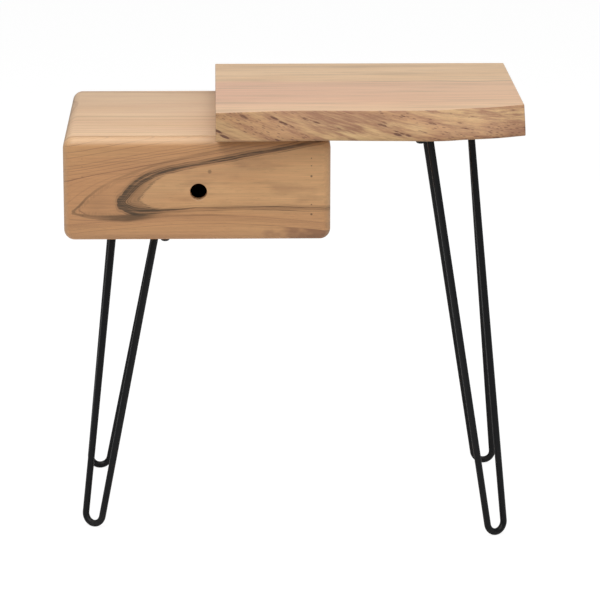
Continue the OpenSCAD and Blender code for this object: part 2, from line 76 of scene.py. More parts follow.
class Field:
    """A number that varies over a surface: a shader socket with arithmetic."""

    def __init__(self, graph: Graph, socket: bpy.types.NodeSocket) -> None:
        """Wrap one output socket of a graph.

        Args:
            graph: The graph that the socket belongs to.
            socket: The output socket.
        """
        self.graph = graph
        self.socket = socket

    def __add__(self, other: Number) -> Field:
        """Return the sum."""
        return self.graph.maths("ADD", self, other)

    def __sub__(self, other: Number) -> Field:
        """Return the difference."""
        return self.graph.maths("SUBTRACT", self, other)

    def __rsub__(self, other: Number) -> Field:
        """Return the difference from a number."""
        return self.graph.maths("SUBTRACT", other, self)

    def __mul__(self, other: Number) -> Field:
        """Return the product."""
        return self.graph.maths("MULTIPLY", self, other)

    def __truediv__(self, other: Number) -> Field:
        """Return the quotient."""
        return self.graph.maths("DIVIDE", self, other)

    def __rtruediv__(self, other: Number) -> Field:
        """Return a number divided by this."""
        return self.graph.maths("DIVIDE", other, self)

    def __neg__(self) -> Field:
        """Return the negative."""
        return self.graph.maths("MULTIPLY", self, -1.0)

    __radd__ = __add__
    __rmul__ = __mul__

    def over(self, other: Number) -> Field:
        """Return the larger of this and another number."""
        return self.graph.maths("MAXIMUM", self, other)

    def under(self, other: Number) -> Field:
        """Return the smaller of this and another number."""
        return self.graph.maths("MINIMUM", self, other)

    def size(self) -> Field:
        """Return the absolute value."""
        return self.graph.maths("ABSOLUTE", self)

    def root(self) -> Field:
        """Return the square root."""
        return self.graph.maths("SQRT", self)

    def fraction(self) -> Field:
        """Return what is left after the whole number."""
        return self.graph.maths("FRACT", self)

    def floor(self) -> Field:
        """Return the whole number below."""
        return self.graph.maths("FLOOR", self)

    def exponential(self) -> Field:
        """Return e to this power."""
        return self.graph.maths("EXPONENT", self)

    def logarithm(self) -> Field:
        """Return the natural logarithm."""
        return self.graph.maths("LOGARITHM", self, math.e)

    def step(self, low: float, high: float) -> Field:
        """Rise smoothly from 0 at one value to 1 at another.

        Args:
            low: The value that gives 0.
            high: The value that gives 1. It may lie below low, and the step then falls.

        Returns:
            The smooth step.
        """
        if low > high:
            return 1.0 - self.step(high, low)
        node = self.graph.node(
            "ShaderNodeMapRange",
            {"interpolation_type": "SMOOTHSTEP"},
            {"Value": self, "From Min": low, "From Max": high},
        )
        return Field(self.graph, node.outputs["Result"])

    def bell(self, centre: Number, width: float) -> Field:
        """Return a smooth hump.

        Args:
            centre: The value at which the hump is 1.
            width: How far from the centre it has almost gone.

        Returns:
            The hump, from 0 to 1.
        """
        offset = (self - centre) / width
        return (-(offset * offset) * 3.0).exponential()


Number = Field | float


class Graph:
    """One material's node tree, built from Python expressions."""

    def __init__(self, name: str) -> None:
        """Start a material with an empty tree.

        Args:
            name: The material's name.
        """
        self.material = bpy.data.materials.new(name)
        self.material.use_nodes = True
        self.tree = self.material.node_tree
        self.tree.nodes.clear()

    def node(self, kind: str, settings: dict[str, object], sockets: dict[str, object]) -> bpy.types.Node:
        """Add a node, set it up and feed its sockets.

        Args:
            kind: The node's type.
            settings: Its properties, which are set first.
            sockets: A value, a field or a link for each input, by name or place.

        Returns:
            The node.
        """
        made = self.tree.nodes.new(kind)
        for key, value in settings.items():
            setattr(made, key, value)
        for key, value in sockets.items():
            target = made.inputs[key]
            if isinstance(value, Field):
                self.tree.links.new(value.socket, target)
            elif isinstance(value, bpy.types.NodeSocket):
                self.tree.links.new(value, target)
            else:
                target.default_value = value
        return made

    def maths(self, operation: str, *values: Number) -> Field:
        """Add one Math node.

        Args:
            operation: The node's operation.
            *values: Its inputs, in order.

        Returns:
            The node's result.
        """
        made = self.node("ShaderNodeMath", {"operation": operation}, dict(enumerate(values)))
        return Field(self, made.outputs[0])

    def place(self) -> tuple[Field, Field, Field]:
        """Read where a point lies on its piece.

        Returns:
            The three object coordinates.
        """
        source = self.node("ShaderNodeTexCoord", {}, {})
        split = self.node("ShaderNodeSeparateXYZ", {}, {0: source.outputs["Object"]})
        return tuple(Field(self, out) for out in split.outputs)

    def normal(self) -> tuple[Field, Field, Field]:
        """Read which way the surface faces.

        Returns:
            The three parts of its normal.
        """
        source = self.node("ShaderNodeNewGeometry", {}, {})
        split = self.node("ShaderNodeSeparateXYZ", {}, {0: source.outputs["Normal"]})
        return tuple(Field(self, out) for out in split.outputs)

    def point(self, x: Number, y: Number, z: Number) -> bpy.types.NodeSocket:
        """Combine three numbers into a vector."""
        return self.node("ShaderNodeCombineXYZ", {}, {0: x, 1: y, 2: z}).outputs[0]

    def noise(self, x: Number, y: Number, z: Number, detail: float = 2.0, roughness: float = 0.5) -> Field:
        """Sample smooth noise at a point that is already scaled.

        Args:
            x: First coordinate.
            y: Second coordinate.
            z: Third coordinate.
            detail: Octaves of finer noise.
            roughness: Strength of the finer octaves.

        Returns:
            The noise, from 0 to 1 around 0.5.
        """
        sockets = {"Vector": self.point(x, y, z), "Scale": 1.0, "Detail": detail, "Roughness": roughness}
        made = self.node("ShaderNodeTexNoise", {"noise_dimensions": "3D"}, sockets)
        return Field(self, made.outputs[0])

    def cells(self, x: Number, y: Number, z: Number) -> Field:
        """Measure the distance to the nearest of many scattered points.

        Args:
            x: First coordinate, already scaled.
            y: Second coordinate.
            z: Third coordinate.

        Returns:
            The distance.
        """
        sockets = {"Vector": self.point(x, y, z), "Scale": 1.0}
        made = self.node("ShaderNodeTexVoronoi", {"feature": "F1"}, sockets)
        return Field(self, made.outputs["Distance"])

    def blend(self, share: Number, first: object, second: object) -> bpy.types.NodeSocket:
        """Blend two colours.

        Args:
            share: How much of the second colour shows, from 0 to 1.
            first: A colour or a colour socket.
            second: A colour or a colour socket.

        Returns:
            The blended colour.
        """
        settings = {"data_type": "RGBA", "blend_type": "MIX", "clamp_factor": True}
        colours = [(*c, 1.0) if isinstance(c, tuple) else c for c in (first, second)]
        made = self.node("ShaderNodeMix", settings, {0: share, 6: colours[0], 7: colours[1]})
        return made.outputs[2]

    def shade(self, colour: bpy.types.NodeSocket, factor: Field) -> bpy.types.NodeSocket:
        """Darken or lighten a colour by a varying factor."""
        made = self.node("ShaderNodeVectorMath", {"operation": "SCALE"}, {0: colour, "Scale": factor})
        return made.outputs[0]

    def finish(
        self,
        colour: object,
        roughness: Number,
        height: Field,
        depth: float,
        fixed: dict[str, object] | None = None,
    ) -> bpy.types.Material:
        """Close the tree with a principled surface.

        Args:
            colour: The base colour's socket.
            roughness: The roughness.
            height: The relief, from 0 to 1.
            depth: How many metres of relief a height of 1 stands for.
            fixed: Other sockets of the surface, with one value each.

        Returns:
            The finished material.
        """
        bump = self.node("ShaderNodeBump", {}, {"Strength": 1.0, "Distance": depth, "Height": height})
        sockets = {"Base Color": colour, "Roughness": roughness, "Normal": bump.outputs[0]}
        surface = self.node("ShaderNodeBsdfPrincipled", {}, sockets | (fixed or {}))
        self.node("ShaderNodeOutputMaterial", {}, {0: surface.outputs[0]})
        return self.material


# Finishes

LACQUER = {"Specular IOR Level": 0.45, "Coat Weight": 0.12, "Coat Roughness": 0.28}


class Grain(Enum):
    """The way that a board's grain runs."""

    ALONG_X = (0, 1, 2)
    ALONG_Y = (1, 0, 2)
    ALONG_Z = (2, 0, 1)


@dataclass(frozen=True)
class Palette:
    """The colours of one board, in linear light."""

    pale: Colour
    mid: Colour
    rosy: Colour
    dark: Colour


BOX_PALETTE = Palette(
    pale=(0.730, 0.422, 0.198),
    mid=(0.648, 0.354, 0.160),
    rosy=(0.618, 0.314, 0.143),
    dark=(0.200, 0.100, 0.045),
)
TOP_PALETTE = Palette(
    pale=(0.690, 0.478, 0.296),
    mid=(0.630, 0.410, 0.240),
    rosy=(0.610, 0.378, 0.242),
    dark=(0.330, 0.200, 0.120),
)
SLAB_PALETTE = Palette(
    pale=(0.730, 0.508, 0.312),
    mid=(0.665, 0.438, 0.255),
    rosy=(0.645, 0.402, 0.255),
    dark=(0.330, 0.200, 0.120),
)
INNER_PALETTE = Palette(
    pale=(0.660, 0.450, 0.255),
    mid=(0.590, 0.370, 0.190),
    rosy=(0.560, 0.330, 0.180),
    dark=(0.300, 0.165, 0.080),
)


@dataclass(frozen=True)
class Fibre:
    """The fine texture that every wood shares: fibres, pores and slow changes of tone."""

    fibre: Field
    thread: Field
    streak: Field
    pores: Field
    cloud: Field

    @classmethod
    def along(cls, graph: Graph, run: Number, across: Number, up: Number, seed: float) -> Fibre:
        """Build the texture for one direction of grain.

        Args:
            graph: The material's graph.
            run: Distance along the grain.
            across: First distance across the grain.
            up: Second distance across the grain.
            seed: Offset that makes one board differ from the next.

        Returns:
            The texture's fields.
        """
        return cls(
            fibre=graph.noise(run * 22 + seed, across * 1300, up * 1300, 3.0, 0.6),
            thread=graph.noise(run * 7 + seed, across * 360, up * 360, 3.0, 0.65),
            streak=graph.noise(run * 3.5 + seed, across * 130, up * 130, 3.0, 0.55),
            pores=graph.noise(run * 70 + seed, across * 1900, up * 1900, 1.0, 0.5).step(0.66, 0.74),
            cloud=graph.noise(run * 3 + seed, across * 11, up * 11, 2.0, 0.5),
        )

    def tone(self) -> Field:
        """Return the factor by which the fibres lighten or darken the wood, around 1."""
        return (self.fibre - 0.5) * 0.34 + (self.thread - 0.5) * 0.42 + 1.0

    def relief(self) -> Field:
        """Return the height of the bare fibres."""
        return self.fibre * 0.45 + self.thread * 0.2 + self.streak * 0.2 - self.pores * 0.3 + 0.4

    def gloss(self, sheen: float) -> Field:
        """Return the roughness of lacquer over the fibres."""
        return self.fibre * 0.16 + self.pores * 0.08 + sheen


@dataclass(frozen=True)
class Timber:
    """Lacquered or bare solid wood with growth rings around a pith beside the board."""

    name: str
    palette: Palette
    grain: Grain = Grain.ALONG_X
    pith: tuple[float, float] = (0.04, 0.20)
    ring: float = 0.008
    contrast: float = 0.5
    wander: float = 0.012
    seed: float = 0.0
    sheen: float = 0.36
    grit: float = 0.12 * MILLIMETRE

    def axes(self, graph: Graph) -> tuple[Field, Field, Field]:
        """Return the distances along the grain and across it both ways."""
        place = graph.place()
        return tuple(place[i] for i in self.grain.value)

    def end_grain(self, graph: Graph) -> Field:
        """Tell where the surface cuts across the grain."""
        return graph.normal()[self.grain.value[0]].size().step(0.55, 0.90)

    def rings(self, graph: Graph, run: Field, across: Field, up: Field) -> tuple[Field, Field]:
        """Draw the growth rings.

        Args:
            graph: The material's graph.
            run: Distance along the grain.
            across: First distance across the grain.
            up: Second distance across the grain.

        Returns:
            The dark late wood, and the slow rise of tone within each ring.
        """
        drift = graph.noise(run * 2.2 + self.seed, across * 6, up * 6, 1.0) - 0.5
        ripple = graph.noise(run * 9 + self.seed, across * 45, up * 45, 2.0) - 0.5
        side = across - self.pith[0] + drift * self.wander * 2
        deep = up - self.pith[1] + drift * self.wander
        phase = ((side * side + deep * deep).root() + ripple * self.wander * 0.25) / self.ring
        part = phase.fraction()
        strength = graph.noise(phase.floor() * 3.7, self.seed, 0.5, 0.0).step(0.25, 0.75)
        late = part.step(0.45, 0.93) * part.step(1.0, 0.95)
        return late * (strength * 0.85 + 0.15), part

    def build(self) -> bpy.types.Material:
        """Make the material.

        Returns:
            The material.
        """
        graph = Graph(self.name)
        run, across, up = self.axes(graph)
        texture = Fibre.along(graph, run, across, up, self.seed)
        late, part = self.rings(graph, run, across, up)
        colour = graph.blend(texture.cloud.step(0.35, 0.65), self.palette.pale, self.palette.mid)
        colour = graph.blend(texture.streak.step(0.42, 0.70) * 0.65, colour, self.palette.rosy)
        end = self.end_grain(graph)
        colour = graph.blend(late * (end * 0.25 + self.contrast), colour, self.palette.dark)
        colour = graph.blend(texture.thread.step(0.60, 0.80) * self.contrast * 0.6, colour, self.palette.dark)
        colour = graph.blend(texture.pores * (end * 0.3 + 0.35), colour, self.palette.dark)
        colour = graph.shade(colour, (texture.tone() + part * 0.03) * (1.0 - end * 0.20))
        roughness = texture.gloss(self.sheen) + late * 0.05
        return graph.finish(colour, roughness, texture.relief() - late * 0.15, self.grit, LACQUER)


def timbers(boards: dict[str, tuple]) -> dict[str, bpy.types.Material]:
    """Make a plain timber for each board.

    Args:
        boards: The board's palette, grain, pith, ring, contrast, wander and seed, by its name.

    Returns:
        The materials, by the same names.
    """
    return {name: Timber(f"{name}_wood", *row).build() for name, row in boards.items()}


@dataclass(frozen=True)
class Flank:
    """One side of a nested figure: how far off the axis a vein lies at a length past its tip."""

    size: float
    spread: float
    far: float
    limit: float
    softness: float = 0.0012

    def width(self, past: Field) -> tuple[Field, Field]:
        """Follow the flank from its tip.

        Args:
            past: The length past the tip, 0 or more.

        Returns:
            The distance from the axis, and how fast it grows.
        """
        fall = (past / -self.size).exponential()
        wide = (1.0 - fall) * self.spread + past / self.far
        return wide, fall * (self.spread / self.size) + 1.0 / self.far

    def run(self, away: Field) -> tuple[Field, Field]:
        """Tell how long a vein has run when it lies this far off the axis.

        Args:
            away: Distance from the figure's axis.

        Returns:
            The length from the vein's tip, and how fast that length grows with the distance.
        """
        near_tip = 1.0 - away.under(self.limit) / self.spread
        grown = ((away - self.limit) / self.softness).under(60.0).exponential()
        length = near_tip.logarithm() * -self.size + (grown + 1.0).logarithm() * (self.softness * self.far)
        return length, self.size / self.spread / near_tip


@dataclass(frozen=True)
class Figure:
    """Where a point of the drawer front lies among the nested veins around one tip."""

    upper: Flank
    lower: Flank
    behind: Field
    above: Field
    away: Field
    below: Field
    side: Field
    level: Field
    grade: Field
    ragged: Field

    @classmethod
    def around(
        cls, graph: Graph, run: Field, up: Field, tip: tuple[float, float], upper: Flank, lower: Flank
    ) -> Figure:
        """Lay the nested veins out around a tip.

        Args:
            graph: The material's graph.
            run: Distance from the box's left side.
            up: Height above the box's underside.
            tip: Where the main vein's tip lies.
            upper: The veins' upper side.
            lower: The veins' lower side.

        Returns:
            The figure at each point.
        """
        slope = 0.14
        droop = 0.40
        drift = graph.noise(run * 6 + tip[0] * 90, up * 18, 0.3, 2.0) - 0.5
        shiver = graph.noise(run * 45, up * 70, 1.7 + tip[1] * 90, 2.0) - 0.5
        behind = run - tip[0]
        past = behind.over(0.0)
        above = up + drift * 0.007 - tip[1] - behind * slope
        side = above.step(-0.006, 0.006)
        away = above * (side * 2.0 - 1.0)
        below = away - past * past * droop
        upper_run, upper_grade = upper.run(away)
        lower_run, lower_grade = lower.run(below.over(0.0))
        grade = upper_grade * side + lower_grade * (1.0 - side)
        return cls(
            upper=upper,
            lower=lower,
            behind=behind,
            above=above,
            away=away,
            below=below,
            side=side,
            level=behind - upper_run * side - lower_run * (1.0 - side) + drift * 0.006,
            grade=(grade * grade + 1.0).root(),
            ragged=shiver * 0.0024,
        )

    def off(self, level: float) -> Field:
        """Measure the distance from one vein, positive towards the outside.

        Args:
            level: Which of the nested veins.

        Returns:
            The distance.
        """
        past = self.behind - level
        inside = past.over(0.0)
        short = (-past).over(0.0)
        total = self.ragged
        halves = ((self.upper, self.away, self.side), (self.lower, self.below, 1.0 - self.side))
        for flank, away, share in halves:
            wide, growth = flank.width(inside)
            beside = (away - wide) / (growth * growth + 1.0).root()
            total = total + beside * share
        return total + (short * short + self.above * self.above).root() - self.above.size()

    def stroke(self, level: float, shift: Number, width: Number) -> Field:
        """Draw one vein.

        Args:
            level: Which of the nested veins.
            shift: How far outside the vein the stroke lies.
            width: Half of the stroke's width.

        Returns:
            1 along the stroke and 0 away from it.
        """
        return ((self.off(level) - shift).size() / width).step(1.3, 0.4)

    def contours(self, graph: Graph, lines: float, start: float, seed: float) -> Field:
        """Draw many fine lines outside the tip's vein, farther apart the farther out they lie.

        Args:
            graph: The material's graph.
            lines: How many lines each doubling of the distance adds, about.
            start: How far outside the vein they begin.
            seed: Offset that varies the lines' strength.

        Returns:
            1 along the lines and 0 away from them.
        """
        reach = 0.055
        outside = (-self.level).over(0.0) + reach
        count = (outside / reach).logarithm() * lines + self.ragged * 60.0
        distance = (count.fraction() - 0.5).size() * outside / self.grade / lines
        strength = graph.noise(count.floor() * 5.3, seed, 0.5, 0.0).step(0.28, 0.66)
        return distance.step(0.0014, 0.0002) * strength * self.level.step(-start, -start - 0.02)


@dataclass(frozen=True)
class CathedralFront(Timber):
    """The drawer front: dark veins nested around a tip at the left, opening to the right."""

    left: float = 0.0
    foot: float = 0.0
    plugs: tuple[tuple[float, float], ...] = ()
    vein: Colour = (0.070, 0.045, 0.024)
    # brown colour of the figure, also used for the painted shadow band under the slab's overhang
    brown_and_slab_shadow: Colour = (0.250, 0.130, 0.058)
    rust: Colour = (0.300, 0.140, 0.070)
    # rim: lighter colour for a painted highlight on the rounded arrises that face up or to the sides
    rim: Colour = (0.680, 0.450, 0.260)

    def build(self) -> bpy.types.Material:
        """Make the material.

        Returns:
            The material.
        """
        graph = Graph(self.name)
        x, y, z = graph.place()
        run = x - self.left
        up = z - self.foot
        texture = Fibre.along(graph, x, y, z, self.seed)
        first = Figure.around(
            graph,
            run,
            up,
            (0.0755, 0.0507),
            Flank(0.021, 0.034, 25.0, 0.0330),
            Flank(0.012, 0.0172, 400.0, 0.0168, 0.0002),
        )
        second = Figure.around(
            graph,
            run,
            up,
            (0.0130, 0.0390),
            Flank(0.050, 0.050, 40.0, 0.0470),
            Flank(0.028, 0.0172, 400.0, 0.0168, 0.0002),
        )
        patch = graph.noise(run * 11, up * 34, 2.2, 2.0)
        strand = graph.noise(run * 16, first.off(0.0) * 1000, 4.4, 2.0)
        veins, browns_and_slab_shadow = self.veins(first, second, run, up, patch, strand)
        veins = veins * (graph.noise(run * 48, up * 560, 9.1, 2.0).step(0.34, 0.58) * 0.32 + 0.68)
        between = first.contours(graph, 3.6, 0.010, 3.0) * second.level.step(-0.002, 0.010)
        beyond = second.contours(graph, 4.4, 0.016, 8.0)
        inside = first.level.step(0.0, 0.03)
        blotch = graph.noise(run * 16, up * 60, 6.6, 3.0).step(0.50, 0.72) * inside
        colour = graph.blend(texture.cloud.step(0.35, 0.65), self.palette.mid, self.palette.rosy)
        colour = graph.blend(inside * (patch.step(0.25, 0.6) * 0.35 + 0.5), colour, self.palette.pale)
        streaks = texture.streak.step(0.4, 0.75) * (0.75 - inside * 0.3)
        colour = graph.blend(streaks, colour, self.palette.rosy)
        colour = graph.blend(blotch * 0.30, colour, self.rust)
        colour = graph.blend((between * 0.75 + beyond * 0.85).under(0.85), colour, self.rust)
        facing = graph.normal()
        # Painted highlight: arrises that face up or to the sides are blended towards the lighter rim colour,
        # standing in for the light that they catch from above and from the sides.
        rim = facing[2].step(0.15, 0.85) * 0.60 + facing[0].size().step(0.3, 0.9) * 0.35
        colour = graph.blend(rim.under(0.6), colour, self.rim)
        colour = graph.blend(texture.thread.step(0.60, 0.82) * 0.35, colour, self.rust)
        colour = graph.blend(browns_and_slab_shadow, colour, self.brown_and_slab_shadow)
        colour = graph.blend(veins, colour, self.vein)
        colour = graph.blend(self.marks(graph, x, z), colour, self.vein)
        colour = graph.blend(texture.pores * 0.30, colour, self.palette.dark)
        colour = graph.shade(colour, texture.tone())
        roughness = texture.gloss(self.sheen) + veins * 0.06
        return graph.finish(colour, roughness, texture.relief() - veins * 0.15, self.grit, LACQUER)

    @staticmethod
    def veins(
        first: Figure, second: Figure, run: Field, up: Field, patch: Field, strand: Field
    ) -> tuple[Field, Field]:
        """Draw the dark veins, the brown figure around them, and a band of painted shadow under the slab's
        overhang.

        Args:
            first: The main figure.
            second: The figure around it.
            run: Distance from the box's left side.
            up: Height above the box's underside.
            patch: Broad noise that breaks the strokes up.
            strand: Fine noise that runs along the main vein.

        Returns:
            How much vein colour shows, and how much brown, which also carries the painted shadow under the
            slab's overhang.
        """
        lower = (up - 0.0507 - (run - 0.0755) * 0.14).step(0.004, -0.010)
        head = run.bell(0.088, 0.055)
        thin = lower * run.step(0.10, 0.16)
        width = (head * 0.0034 + run.step(0.38, 0.20) * 0.0015 + 0.0012) * (1.0 - thin * 0.62)
        main = first.stroke(0.0, 0.0, width) * (strand.step(0.28, 0.56) * 0.62 + 0.38) * (1.0 - thin * 0.30)
        inner = first.stroke(0.0, -0.0042, 0.0006) * patch.step(0.35, 0.55) * (1.0 - thin)
        beside = first.stroke(0.0, 0.0044, 0.0008) * patch.step(0.36, 0.56)
        squiggle = first.stroke(0.023, (strand - 0.5) * 0.010, 0.0010) * run.bell(0.112, 0.045)
        smudge = run.bell(0.084, 0.022) * up.bell(0.050, 0.016) * strand.step(0.30, 0.6)
        halo = first.stroke(0.0, 0.0005, head * 0.0055 + 0.0042) * strand.step(0.2, 0.65)
        mouth = first.level.step(-0.003, 0.003) * first.level.step(0.027, 0.019) * run.bell(0.096, 0.050)
        low_left = run.bell(0.080, 0.065) * lower
        outer = second.stroke(0.0, 0.0, low_left * 0.0026 + 0.0018) * patch.step(0.22, 0.5)
        outer = outer * run.step(0.28, 0.16) * (low_left * 0.4 + 0.6)
        fringe = second.stroke(0.0, -0.0040, 0.0030) * strand.step(0.3, 0.7) * run.step(0.20, 0.10)
        nose = run.bell(0.020, 0.024)
        smoke = patch.step(0.35, 0.60) * run.bell(0.044, 0.036) * up.bell(0.048, 0.024)
        smoke = smoke * second.level.step(0.0, 0.008) * first.level.step(0.002, -0.004)
        dark = main * 1.05 + inner * 0.60 + beside * 0.50 + smudge * 0.40 + squiggle * 0.60
        dark = dark + outer * (low_left * 0.6 + nose * 0.7)
        brown_and_slab_shadow = halo * 0.50 + mouth * 0.50 + outer * 0.72 + fringe * 0.25 + smoke * 0.30
        # Brown band along the top edge under the slab's overhang: partly heartwood tone, partly painted
        # shadow of the slab.
        brown_and_slab_shadow = brown_and_slab_shadow + run.step(0.17, 0.23) * up.step(0.116, 0.132) * 0.34
        return dark.under(0.92), brown_and_slab_shadow.under(0.85)

    def marks(self, graph: Graph, x: Field, z: Field) -> Field:
        """Draw the knot and the filler over the nails, of which only the right-hand ones show well.

        Args:
            graph: The material's graph.
            x: Distance along the table.
            z: Height.

        Returns:
            1 on the marks and 0 away from them.
        """
        wobble = (graph.noise(x * 500, z * 500, 0.0, 1.0) - 0.5) * 0.0012
        total = self.spot(x, z, (self.left + 0.190, self.foot + 0.092), 0.0026, wobble) * 0.45
        middle = sum(p[0] for p in self.plugs) / len(self.plugs)
        for i, plug in enumerate(self.plugs):
            radius = 0.0015 if i % 5 in (0, 2) else 0.0009
            strength = 0.75 if plug[0] > middle else 0.20
            total = total + self.spot(x, z, plug, radius, wobble) * strength
        return total.under(1.0)

    @staticmethod
    def spot(x: Field, z: Field, centre: tuple[float, float], radius: float, wobble: Field) -> Field:
        """Draw one soft-edged dot.

        Args:
            x: Distance along the table.
            z: Height.
            centre: The dot's middle.
            radius: The dot's radius.
            wobble: What makes its edge uneven.

        Returns:
            1 on the dot and 0 away from it.
        """
        dx = x - centre[0]
        dz = z - centre[1]
        return ((dx * dx + dz * dz).root() + wobble).step(radius * 1.25, radius * 0.6)


@dataclass(frozen=True)
class SlabTimber(Timber):
    """The slab: soft bands on its faces, and sapwood with bark scars on its live edge."""

    start: float = 0.0
    length: float = 0.4
    foot: float = 0.0
    thickness: float = 0.037
    depth: tuple[float, float] = (0.0, 0.0)
    sap: Colour = (0.665, 0.435, 0.215)
    tan: Colour = (0.545, 0.305, 0.150)
    bark: Colour = (0.310, 0.140, 0.078)
    scar: Colour = (0.130, 0.050, 0.032)
    grey: Colour = (0.420, 0.295, 0.190)
    pink: Colour = (0.630, 0.375, 0.260)
    shadow: Colour = (0.230, 0.180, 0.135)

    def build(self) -> bpy.types.Material:
        """Make the material.

        Returns:
            The material.
        """
        graph = Graph(self.name)
        x, y, z = graph.place()
        texture = Fibre.along(graph, x, y, z, self.seed)
        late, part = self.rings(graph, x, y, z)
        colour = self.face_colour(graph, x, y, texture, late)
        edge, scars = self.edge_colour(graph, x, z)
        front = (-graph.normal()[1]).step(0.25, 0.6)
        end = self.end_grain(graph)
        colour = graph.blend(late * end * 0.35, colour, self.palette.dark)
        colour = graph.blend(front, colour, edge)
        colour = graph.blend(texture.pores * (end * 0.3 + 0.3), colour, self.palette.dark)
        colour = graph.shade(colour, (texture.tone() + part * 0.02) * (1.0 - end * 0.22))
        roughness = texture.gloss(self.sheen) + scars * front * 0.2
        height = texture.relief() * 0.7 - scars * front * 1.6 + 1.6
        return graph.finish(colour, roughness, height, self.grit * 1.5, LACQUER)

    def face_colour(
        self, graph: Graph, x: Field, y: Field, texture: Fibre, late: Field
    ) -> bpy.types.NodeSocket:
        """Colour the sawn faces.

        Args:
            graph: The material's graph.
            x: Distance along the grain.
            y: Distance across the slab.
            texture: The fine texture.
            late: The dark part of the rings.

        Returns:
            The faces' colour.
        """
        bend = (graph.noise(x * 5, y * 7, 3.1, 2.0) - 0.5) * 0.030
        share = (y + bend - self.depth[0]) / (self.depth[1] - self.depth[0])
        reach = (x - self.start) / self.length
        heart = (share.step(0.04, 0.30) * 0.7 + 0.3) * share.step(0.66, 0.58)
        haze = graph.noise(x * 4, y * 60, 8.0, 3.0, 0.6)
        wisp = graph.noise(x * 9, (y + bend) * 170, 2.0, 3.0, 0.6)
        colour = graph.blend(texture.cloud.step(0.3, 0.7), self.palette.pale, self.palette.mid)
        colour = graph.blend(heart * (1.0 - reach * 0.5) * 0.9, colour, self.pink)
        colour = graph.blend(haze.step(0.48, 0.70) * 0.55, colour, self.grey)
        colour = graph.blend(wisp.step(0.54, 0.76) * 0.50, colour, self.grey)
        colour = graph.blend(late * self.contrast, colour, self.palette.dark)
        vein = share.bell(0.62, 0.011) * reach.step(0.36, 0.55) * haze.step(0.36, 0.52)
        return graph.blend(vein * 0.75, colour, self.shadow)

    def edge_colour(self, graph: Graph, x: Field, z: Field) -> tuple[bpy.types.NodeSocket, Field]:
        """Colour the live edge, whose scars lie aslant at one end and level out towards the other.

        Args:
            graph: The material's graph.
            x: Distance along the slab.
            z: Height.

        Returns:
            The edge's colour, and its scars.
        """
        run = x - self.start
        slant = z - self.foot + run * 0.42 - run * run * (0.17 / self.length)
        wide = graph.noise(run * 16, slant * 110, 5.0, 5.0, 0.66)
        hair = graph.noise(run * 26, slant * 600, 2.0, 3.0)
        tone = graph.noise(run * 8, slant * 34, 1.0, 2.0)
        rise = (z - self.foot) / self.thickness
        reach = run / self.length
        zone = reach.bell(0.40, 0.42) * (rise.step(0.0, 0.5) * 0.09 + 0.04) + reach.step(0.6, 1.0) * 0.11
        hatch = graph.noise(run * 42, slant * 430, 3.0, 3.0, 0.6)
        patches = (wide + zone).step(0.48, 0.68) * (hatch.step(0.32, 0.60) * 0.65 + 0.35)
        wobble = (hair - 0.5) * 0.16
        pits = (graph.cells(run * 42, slant * 140, 4.0) + wobble).step(0.30, 0.20) * wide.step(0.48, 0.56)
        dashes = (graph.cells(run * 120, slant * 400, 7.0) + wobble).step(0.34, 0.20) * tone.step(0.50, 0.60)
        colour = graph.blend(tone.step(0.35, 0.62), self.sap, self.tan)
        colour = graph.blend(hair.step(0.45, 0.75) * 0.40, colour, self.bark)
        colour = graph.blend(patches * 0.86, colour, self.bark)
        colour = graph.blend((pits * 0.85 + dashes * 0.55).under(0.9), colour, self.scar)
        return colour, (patches * 0.4 + pits + dashes * 0.3).under(1.0)


@dataclass(frozen=True)
class PowderCoat:
    """Satin black powder coat on steel, dulled a little near the floor."""

    name: str
    base: Colour = (0.0045, 0.0045, 0.0055)
    dust: Colour = (0.030, 0.029, 0.028)

    def build(self) -> bpy.types.Material:
        """Make the material.

        Returns:
            The material.
        """
        graph = Graph(self.name)
        x, y, z = graph.place()
        peel = graph.noise(x * 1400, y * 1400, z * 1400, 2.0)
        drift = graph.noise(x * 40, y * 40, z * 14, 3.0)
        low = z.step(0.030, 0.002)
        worn = (low * drift.step(0.45, 0.7)).under(1.0)
        colour = graph.blend(drift.step(0.5, 0.9) * 0.25 + worn * 0.6, self.base, self.dust)
        roughness = peel * 0.10 + drift * 0.10 + worn * 0.2 + 0.26
        return graph.finish(colour, roughness, peel, 0.05 * MILLIMETRE, {"Specular IOR Level": 0.25})


@dataclass(frozen=True)
class ZincPlate:
    """Zinc-plated steel with a faint yellow tint."""

    name: str
    base: Colour = (0.58, 0.54, 0.44)
    tint: Colour = (0.50, 0.40, 0.24)

    def build(self) -> bpy.types.Material:
        """Make the material.

        Returns:
            The material.
        """
        graph = Graph(self.name)
        x, y, z = graph.place()
        mottle = graph.noise(x * 900, y * 900, z * 900, 3.0)
        turned = graph.noise(x * 60, y * 60, z * 5000, 2.0)
        colour = graph.blend(mottle.step(0.35, 0.75), self.base, self.tint)
        roughness = turned * 0.16 + mottle * 0.14 + 0.2
        return graph.finish(colour, roughness, turned, 0.03 * MILLIMETRE, {"Metallic": 1.0})


# Modelling

def active_only(piece: bpy.types.Object) -> None:
    """Select one object and nothing else.

    Args:
        piece: The object.
    """
    bpy.ops.object.select_all(action="DESELECT")
    piece.select_set(True)
    bpy.context.view_layer.objects.active = piece


@contextmanager
def editing(piece: bpy.types.Object, mode: str = "EDGE") -> Iterator[bmesh.types.BMesh]:
    """Open a piece in edit mode with nothing selected.

    Args:
        piece: The object to edit.
        mode: What is selected: VERT, EDGE or FACE.

    Yields:
        The edit mesh, in which elements are selected by their place.
    """
    active_only(piece)
    bpy.ops.object.mode_set(mode="EDIT")
    bpy.ops.mesh.select_mode(type=mode)
    bpy.ops.mesh.select_all(action="DESELECT")
    mesh = bmesh.from_edit_mesh(piece.data)
    yield mesh
    bpy.ops.object.mode_set(mode="OBJECT")


